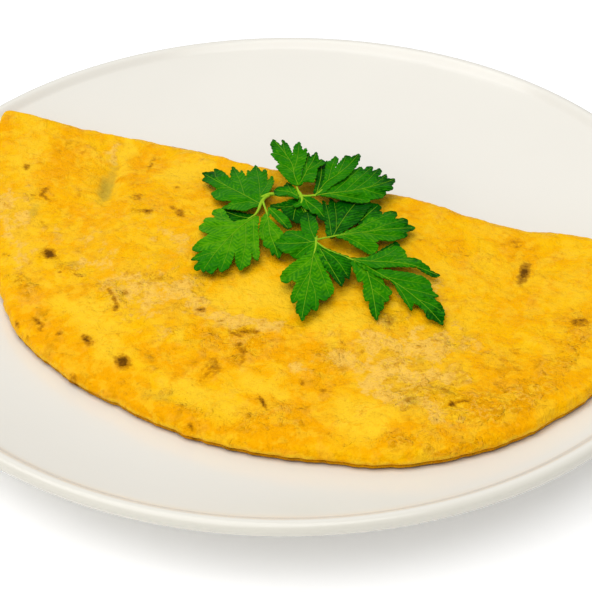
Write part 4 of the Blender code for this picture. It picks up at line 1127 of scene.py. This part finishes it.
# stalks through these points, with a radius at each, in mm, laid out like the blades
STALKS = (
    (24, ((-5.2, 13.4, 24.6, 0.37), (-7.4, 11.8, 25, 0.52), (-9.2, 8, 25, 0.55), (-9.9, 4.4, 24.7, 0.52),
          (-11, 1.3, 24.3, 0.37), (-13.4, -1.3, 24.2, 0.18))),
    (24, ((-8.8, 10, 25, 0.44), (-8, 6, 25.2, 0.37), (-7.2, 2.4, 25.2, 0.26), (-6.7, -1.4, 24.9, 0.15))),
    (25, ((-9, 10.6, 24.9, 0.44), (-6, 12.2, 25.4, 0.59), (-2.6, 11.4, 25.4, 0.59), (1.4, 11, 25.6, 0.59),
          (4, 9.4, 26.4, 0.59))),
    (27, ((2.8, 13.4, 27.9, 0.26), (3.3, 11, 27.2, 0.44), (4.1, 8.6, 26.9, 0.67), (4.6, 5.8, 26.5, 0.44),
          (4.2, 3.6, 26.2, 0.22))),
    (26.5, ((4.1, 8.8, 26.9, 0.44), (6.6, 8.6, 26.9, 0.44), (9.2, 9.4, 27, 0.37),
            (11.4, 12.4, 27.4, 0.22))),
    (26.5, ((5, 8.4, 26.8, 0.3), (8.4, 8.8, 26.9, 0.3), (13, 10, 27.1, 0.22), (17.6, 11, 27.2, 0.15))),
    (25, ((4.4, 7, 26, 0.44), (6, 1, 24.6, 0.44), (7.4, -5, 24.2, 0.44), (8.3, -11, 24.6, 0.41),
          (9, -15, 25.8, 0.37))),
    (25, ((9.4, -12.6, 25.7, 0.22), (9, -15, 26.1, 0.37), (8.9, -18, 26, 0.33), (8.3, -22, 25.6, 0.22))),
    (25, ((8.9, -14.8, 26.1, 0.33), (11.4, -13.9, 26, 0.3), (14.4, -12.9, 26, 0.26),
          (18.4, -11.4, 26.1, 0.16))),
    (24.5, ((9.2, -15.6, 26, 0.3), (12, -18.9, 25.6, 0.22), (16, -21.9, 25.2, 0.22), (20, -24.6, 25, 0.26),
            (23.6, -27.2, 24.9, 0.18))),
)
LEAF_SPACING = 0.42 * MM
LEAF_THICKNESS = 0.32 * MM
LEAF_CLEARANCE = 0.25 * MM
# a blade's edge has teeth of this length (mm), bulging out by a share of it, highest past the middle
TOOTH_LENGTH = 2.0
TOOTH_BULGE = 0.17
TOOTH_PEAK = 0.7
# outlines are drawn out by these factors at their notches and at their tips
NOTCH_DEPTH = 1.5
TIP_LENGTH = 1.1
# veins: radius in mm at both ends of the midrib, share of it for the others, and how far they rise
VEIN_RADIUS = (0.14, 0.08)
SIDE_VEIN_SHARE = 0.6
VEIN_RISE = 0.02 * MM
VEIN_STEP = 0.8
VEIN_SIDES = 6
VEIN_TONE = 0.38
# fine veins leave the nearest vein so many mm apart, at this slant, and start between these gaps
FINE_VEIN_PITCH = 1.9
FINE_VEIN_SLANT = 1.1
FINE_VEIN_START = (0.2, 1.0)
# how softly a blade's height passes from one vein's to the next one's, in mm
HEIGHT_SOFTNESS = 0.5
STALK_STEP = 0.7
STALK_SIDES = 10
STALK_SHADE = 0.7
# a blade arches between its veins by up to this height, reached this far from them, hangs by a share
# of the gap to them and sinks along the fine veins, in mm
ARCH_HEIGHT = 0.32
ARCH_REACH = 1.3
EDGE_DROOP = 0.05
FINE_VEIN_DEPTH = 0.14
# height and length in mm of a blade's waves and of its ripples
BLADE_WAVE = (0.35, 6)
BLADE_RIPPLE = (0.08, 1.4)
# a blade is darker all over and towards its tip, and lighter along its veins and its fine veins
SHADE_DROP = 0.12
TIP_START = 0.55
TIP_DARKER = 0.55
VEIN_LIGHTER = (0.15, 0.8)
FINE_VEIN_LIGHTER = 0.45
# leaves are lifted off the omelette, also just beside its arc and behind its fold
BESIDE_ARC = 1.5 * MM
BEHIND_FOLD = 6.0 * MM
SETTLE_ROUNDS = 3
SETTLE_SHARPNESS = 3.0
# each blade's noise has a seed of its own
FIRST_SEED = 100
SEED_STEP = 7


def omelette_top(x, y):
    """Height of the omelette's top at plate coordinates, or 0 beside the omelette."""
    along, front = from_plate(x, y)
    within = np.minimum(arc_distance(along, front), front + BEHIND_FOLD) > -BESIDE_ARC
    top = underside(along, front) + thickness(along, front) + relief(along, front)
    return np.where(within, top, 0.0)


def vein_height(x, y, veins):
    """For each place of a blade: its height drawn from the veins, its gap to the nearest, and how
    much it lies on a fine vein, which leaves the nearest vein at a slant."""
    total, weights = np.zeros_like(x), np.zeros_like(x)
    gap, slant = np.full_like(x, np.inf), np.zeros_like(x)
    for vein in veins:
        run = 0.0
        for start, end in zip(vein, vein[1:]):
            length = math.hypot(end[0] - start[0], end[1] - start[1])
            share, off = beside_segment(x, y, start, end)
            weight = 1.0 / (off + HEIGHT_SOFTNESS) ** 3
            total += weight * (start[2] + share * (end[2] - start[2]))
            weights += weight
            slant = np.where(off < gap, run + share * length - FINE_VEIN_SLANT * off, slant)
            gap = np.minimum(gap, off)
            run += length
    fine = 0.5 + 0.5 * np.cos(math.tau * slant / FINE_VEIN_PITCH)
    return total / weights, gap, fine ** 3 * smooth_step(*FINE_VEIN_START, gap)


def settle(x, y, height, level):
    """Plate coordinates of a place laid out on a level, clear of the omelette."""
    back = y + SIGHT_SLOPE * (level - height)
    for _ in range(SETTLE_ROUNDS):
        floor = (omelette_top(x * MM, back * MM) + LEAF_CLEARANCE) / MM
        raised = floor + np.logaddexp(0.0, SETTLE_SHARPNESS * (height - floor)) / SETTLE_SHARPNESS
        back = y + SIGHT_SLOPE * (level - raised)
    return np.stack([x, back, raised], 1) * MM


def blade_surface(x, y, level, veins, seed):
    """Where a blade's underside lies, arched between its veins and wavy."""
    height, gap, fine = vein_height(x, y, veins)
    arch = ARCH_HEIGHT * (1.0 - np.exp(-(gap / ARCH_REACH) ** 2))
    arch = arch - EDGE_DROOP * gap - FINE_VEIN_DEPTH * fine
    wave = BLADE_WAVE[0] * fractal(x / BLADE_WAVE[1], y / BLADE_WAVE[1], seed, 2)
    wave = wave + BLADE_RIPPLE[0] * gradient_noise(x / BLADE_RIPPLE[1], y / BLADE_RIPPLE[1], seed + 5)
    return settle(x, y, height + arch + wave, level), gap, fine


def notched(points):
    """The outline with its notches cut deeper and its tips drawn out."""
    loop = []
    for before, (x, y), after in zip(points[-1:] + points[:-1], points, points[1:] + points[:1]):
        middle_x, middle_y = (before[0] + after[0]) / 2, (before[1] + after[1]) / 2
        turn = (x - before[0]) * (after[1] - y) - (y - before[1]) * (after[0] - x)
        share = NOTCH_DEPTH if turn > 0 else TIP_LENGTH
        loop.append((middle_x + share * (x - middle_x), middle_y + share * (y - middle_y)))
    return loop


def toothed_loop(points):
    """The outline cut into short steps, each run between two points bulging out in small teeth."""
    loop = []
    for (x0, y0), (x1, y1) in zip(points, points[1:] + points[:1]):
        length = math.hypot(x1 - x0, y1 - y0)
        teeth = max(1, round(length / TOOTH_LENGTH))
        count = teeth * max(4, math.ceil(length / teeth / (LEAF_SPACING / MM)))
        for share in np.arange(count) / count:
            tooth = teeth * share % 1.0
            rise = min(tooth / TOOTH_PEAK, (1.0 - tooth) / (1.0 - TOOTH_PEAK))
            out = TOOTH_BULGE * rise / teeth
            x, y = x0 + share * (x1 - x0), y0 + share * (y1 - y0)
            loop.append((x - out * (y1 - y0), y + out * (x1 - x0)))
    return np.array(loop)


def clockwise(points):
    """The closed outline's points in clockwise order."""
    twice_area = sum(x0 * y1 - x1 * y0 for (x0, y0), (x1, y1) in zip(points, points[1:] + points[:1]))
    return list(points if twice_area < 0 else reversed(points))


class Growth:
    """Vertices, faces, tones and sharp edges of the sprig's pieces, gathered into one mesh."""

    def __init__(self):
        self.verts, self.faces = [], []
        self.tones = {"shade": [], "vein": []}
        self.sharp = set()

    def add(self, verts, faces, **tones):
        start = len(self.verts)
        self.verts += [tuple(v) for v in verts]
        self.faces += [tuple(start + v for v in face) for face in faces]
        for key, values in self.tones.items():
            values += list(np.broadcast_to(tones[key], len(verts)))
        return start


def add_tube(growth, centres, radii, sides, **tones):
    """A tube with pointed ends through a few centres."""
    steps = np.gradient(centres, axis=0)
    steps /= np.linalg.norm(steps, axis=1)[:, None]
    across = np.cross(steps, (0.0, 0.0, 1.0))
    across /= np.linalg.norm(across, axis=1)[:, None]
    up = np.cross(across, steps)
    verts = [centres[0] - steps[0] * radii[0]]
    for centre, radius, side, rise in zip(centres, radii, across, up):
        for angle in np.linspace(0.0, math.tau, sides, endpoint=False):
            verts.append(centre + radius * (math.cos(angle) * side + math.sin(angle) * rise))
    verts.append(centres[-1] + steps[-1] * radii[-1])
    growth.add(verts, wound_faces(len(centres), sides), **tones)


def along_points(points, step):
    """Points a step apart on a smooth curve through a few points, with all their columns."""
    points = np.array(points, float)
    place = np.concatenate([[0.0], np.cumsum(np.linalg.norm(np.diff(points[:, :2], axis=0), axis=1))])
    at = np.linspace(0.0, place[-1], max(3, round(place[-1] / step)))
    return np.stack([smooth_curve(list(zip(place, column)), at) for column in points.T], 1)


def blade_tones(flat, base, shade, gap, fine):
    """How light a blade is at each of its points, from its painted light and shade, its tip and its veins.
    """
    reach = np.hypot(*(flat - np.array(base)).T)
    tip = smooth_step(TIP_START, 1.0, reach / reach.max())
    lighter, width = VEIN_LIGHTER
    near_vein = lighter * np.exp(-(gap / width) ** 2)
    return shade - TIP_DARKER * tip + near_vein + FINE_VEIN_LIGHTER * fine - SHADE_DROP


def add_veins(growth, level, shade, veins, seed):
    """Thin ridges along a blade's veins."""
    for order, vein in enumerate(veins):
        line = along_points(vein, VEIN_STEP)
        centres = blade_surface(line[:, 0], line[:, 1], level, veins, seed)[0]
        centres += np.array((0.0, 0.0, LEAF_THICKNESS + VEIN_RISE))
        share = 1.0 if order == 0 else SIDE_VEIN_SHARE
        radii = np.linspace(share * VEIN_RADIUS[0], share * VEIN_RADIUS[1], len(line)) * MM
        add_tube(growth, centres, radii, VEIN_SIDES, shade=shade, vein=VEIN_TONE)


def add_blade(growth, level, shade, points, veins, seed):
    """A blade: its lower and upper surface, and the rim between them, which stays sharp."""
    loop = toothed_loop(notched(clockwise(points)))
    flat, faces = fill_loop(loop, LEAF_SPACING / MM)
    low, gap, fine = blade_surface(flat[:, 0], flat[:, 1], level, veins, seed)
    high = low + np.array((0.0, 0.0, LEAF_THICKNESS))
    tones = blade_tones(flat, veins[0][0][:2], shade, gap, fine)
    upper = len(flat)
    rim = [(k, (k + 1) % len(loop)) for k in range(len(loop))]
    bottom = [tuple(reversed(face)) for face in faces]
    top = [tuple(v + upper for v in face) for face in faces]
    edge = [(k, after, after + upper, k + upper) for k, after in rim]
    start = growth.add(np.concatenate([low, high]), bottom + top + edge,
                       shade=np.concatenate([tones, tones]), vein=0.0)
    for side in (start, start + upper):
        growth.sharp |= {(side + min(pair), side + max(pair)) for pair in rim}
    add_veins(growth, level, shade, veins, seed)


def build_sprig(material):
    """All blades and stalks in one mesh."""
    growth = Growth()
    for order, (level, shade, points, veins) in enumerate(BLADES.values()):
        add_blade(growth, level, shade, points, veins, FIRST_SEED + SEED_STEP * order)
    for level, points in STALKS:
        line = along_points(points, STALK_STEP)
        centres = settle(line[:, 0], line[:, 1], line[:, 2], level)
        add_tube(growth, centres, line[:, 3] * MM, STALK_SIDES, shade=STALK_SHADE, vein=1.0)
    sprig = add_mesh("parsley_leaves", growth.verts, growth.faces, material, growth.tones)
    for edge in sprig.data.edges:
        if tuple(sorted(edge.vertices)) in growth.sharp:
            edge.use_edge_sharp = True
    return sprig


LEAF_DARK = (0.0004, 0.062, 0.0003)
LEAF_MID = (0.016, 0.180, 0.0004)
LEAF_LIGHT = (0.082, 0.315, 0.001)
LEAF_VEIN = (0.20, 0.42, 0.012)
LEAF_STALK = (0.30, 0.52, 0.02)
LEAF_SHEEN = (0.15, 0.7, 0.03)


def parsley_material():
    """Leaf green that lightens with the blades' painted light and shade, with paler veins and stalks."""
    nodes = Nodes("parsley")
    blotch = nodes.noise(0.0036, 4.0, 0.6)
    net = nodes.noise(0.0011, 3.0, 0.6)
    vein = nodes.attribute("vein")
    uneven = nodes.total(nodes.swing(blotch, 1.1), nodes.swing(net, 0.6))
    shade = nodes.total(nodes.attribute("shade"), uneven)
    colour = nodes.painted(LEAF_DARK, (
        # the blades' painted light and shade
        (LEAF_MID, nodes.ramp(shade, -0.1, 0.5)),
        (LEAF_LIGHT, nodes.ramp(shade, 0.5, 1.1)),
        (LEAF_VEIN, nodes.ramp(net, 0.56, 0.8, 0.0, 0.2)),
        (LEAF_VEIN, nodes.ramp(vein, 0.0, 0.5)),
        (LEAF_STALK, nodes.ramp(vein, 0.6, 1.0)),
    ))
    normal = nodes.relief((blotch, 0.0009, 0.5), (net, 0.0004, 0.6))
    nodes.set(Base_Color=colour, Roughness=0.45, Normal=normal)
    nodes.set(Specular_IOR_Level=0.10, Specular_Tint=LEAF_SHEEN)
    return nodes.material


# ---------------------------------------------------------------- room, lights and camera

FLOOR_REACH = 6.0
FLOOR_COLOUR = (0.96, 0.96, 0.965)
FLOOR_GLOW = 0.10
WHITE = (1.0, 1.0, 1.0)
# the sky's strength at the horizon and overhead, and the rise at which it is full
SKY_HORIZON = 0.33
SKY_OVERHEAD = 0.475
SKY_RISE = 0.5
# soft lights aimed at the plate: name, place, width and height, and power
LIGHTS = (("overhead", (-0.30, -0.25, 1.2), (1.4, 1.2), 14.2),
          ("front_fill", (-0.7, -1.3, 0.55), (1.6, 0.7), 1.6))
CAMERA_PLACE = (0.00254, -0.33057, 0.24855)
CAMERA_TILT = math.radians(52.035)
CAMERA_LENS = 72.97
SENSOR_WIDTH = 36.0


def build_floor():
    """A pale matt floor under the plate."""
    nodes = Nodes("floor")
    nodes.set(Base_Color=FLOOR_COLOUR, Roughness=1.0, Specular_IOR_Level=0.0)
    nodes.set(Emission_Color=WHITE, Emission_Strength=FLOOR_GLOW)
    corners = [(x * FLOOR_REACH, y * FLOOR_REACH, 0) for x, y in ((-1, -1), (1, -1), (1, 1), (-1, 1))]
    floor = add_mesh("floor", corners, [(0, 1, 2, 3)], nodes.material)


def add_area_light(name, place, size, power):
    """A soft light that faces the plate's middle."""
    light = bpy.data.lights.new(name, "AREA")
    light.shape = "RECTANGLE"
    light.size, light.size_y = size
    light.energy = power
    item = add_object(name, light)
    item.location = place
    item.rotation_euler = (-Vector(place)).to_track_quat("-Z", "Y").to_euler()


def set_world():
    """Even white light from all round, fading towards the horizon."""
    world = bpy.data.worlds.new("studio")
    bpy.context.scene.world = world
    world.use_nodes = True
    tree = world.node_tree
    background = tree.nodes["Background"]
    background.inputs["Color"].default_value = (*WHITE, 1.0)
    way = tree.nodes.new("ShaderNodeTexCoord")
    split = tree.nodes.new("ShaderNodeSeparateXYZ")
    fade = tree.nodes.new("ShaderNodeMapRange")
    fade.inputs["From Max"].default_value = SKY_RISE
    fade.inputs["To Min"].default_value = SKY_HORIZON
    fade.inputs["To Max"].default_value = SKY_OVERHEAD
    tree.links.new(way.outputs["Generated"], split.inputs[0])
    tree.links.new(split.outputs["Z"], fade.inputs["Value"])
    tree.links.new(fade.outputs[0], background.inputs["Strength"])


def add_camera():
    """The camera, which looks down at the plate from the front."""
    camera = bpy.data.cameras.new("camera")
    camera.lens = CAMERA_LENS
    camera.sensor_width = SENSOR_WIDTH
    item = add_object("camera", camera)
    item.location = CAMERA_PLACE
    item.rotation_euler = (CAMERA_TILT, 0.0, 0.0)
    bpy.context.scene.camera = item


plate = build_plate(glaze_material())
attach(plate, "root")
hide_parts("plate")

omelette = build_omelette(egg_material())
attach(omelette, "root")
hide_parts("omelette")

sprig = build_sprig(parsley_material())
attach(sprig, "root")
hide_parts("parsley_sprig")

build_floor()
set_world()
for settings in LIGHTS:
    add_area_light(*settings)
add_camera()
bpy.context.scene.view_settings.view_transform = "Standard"
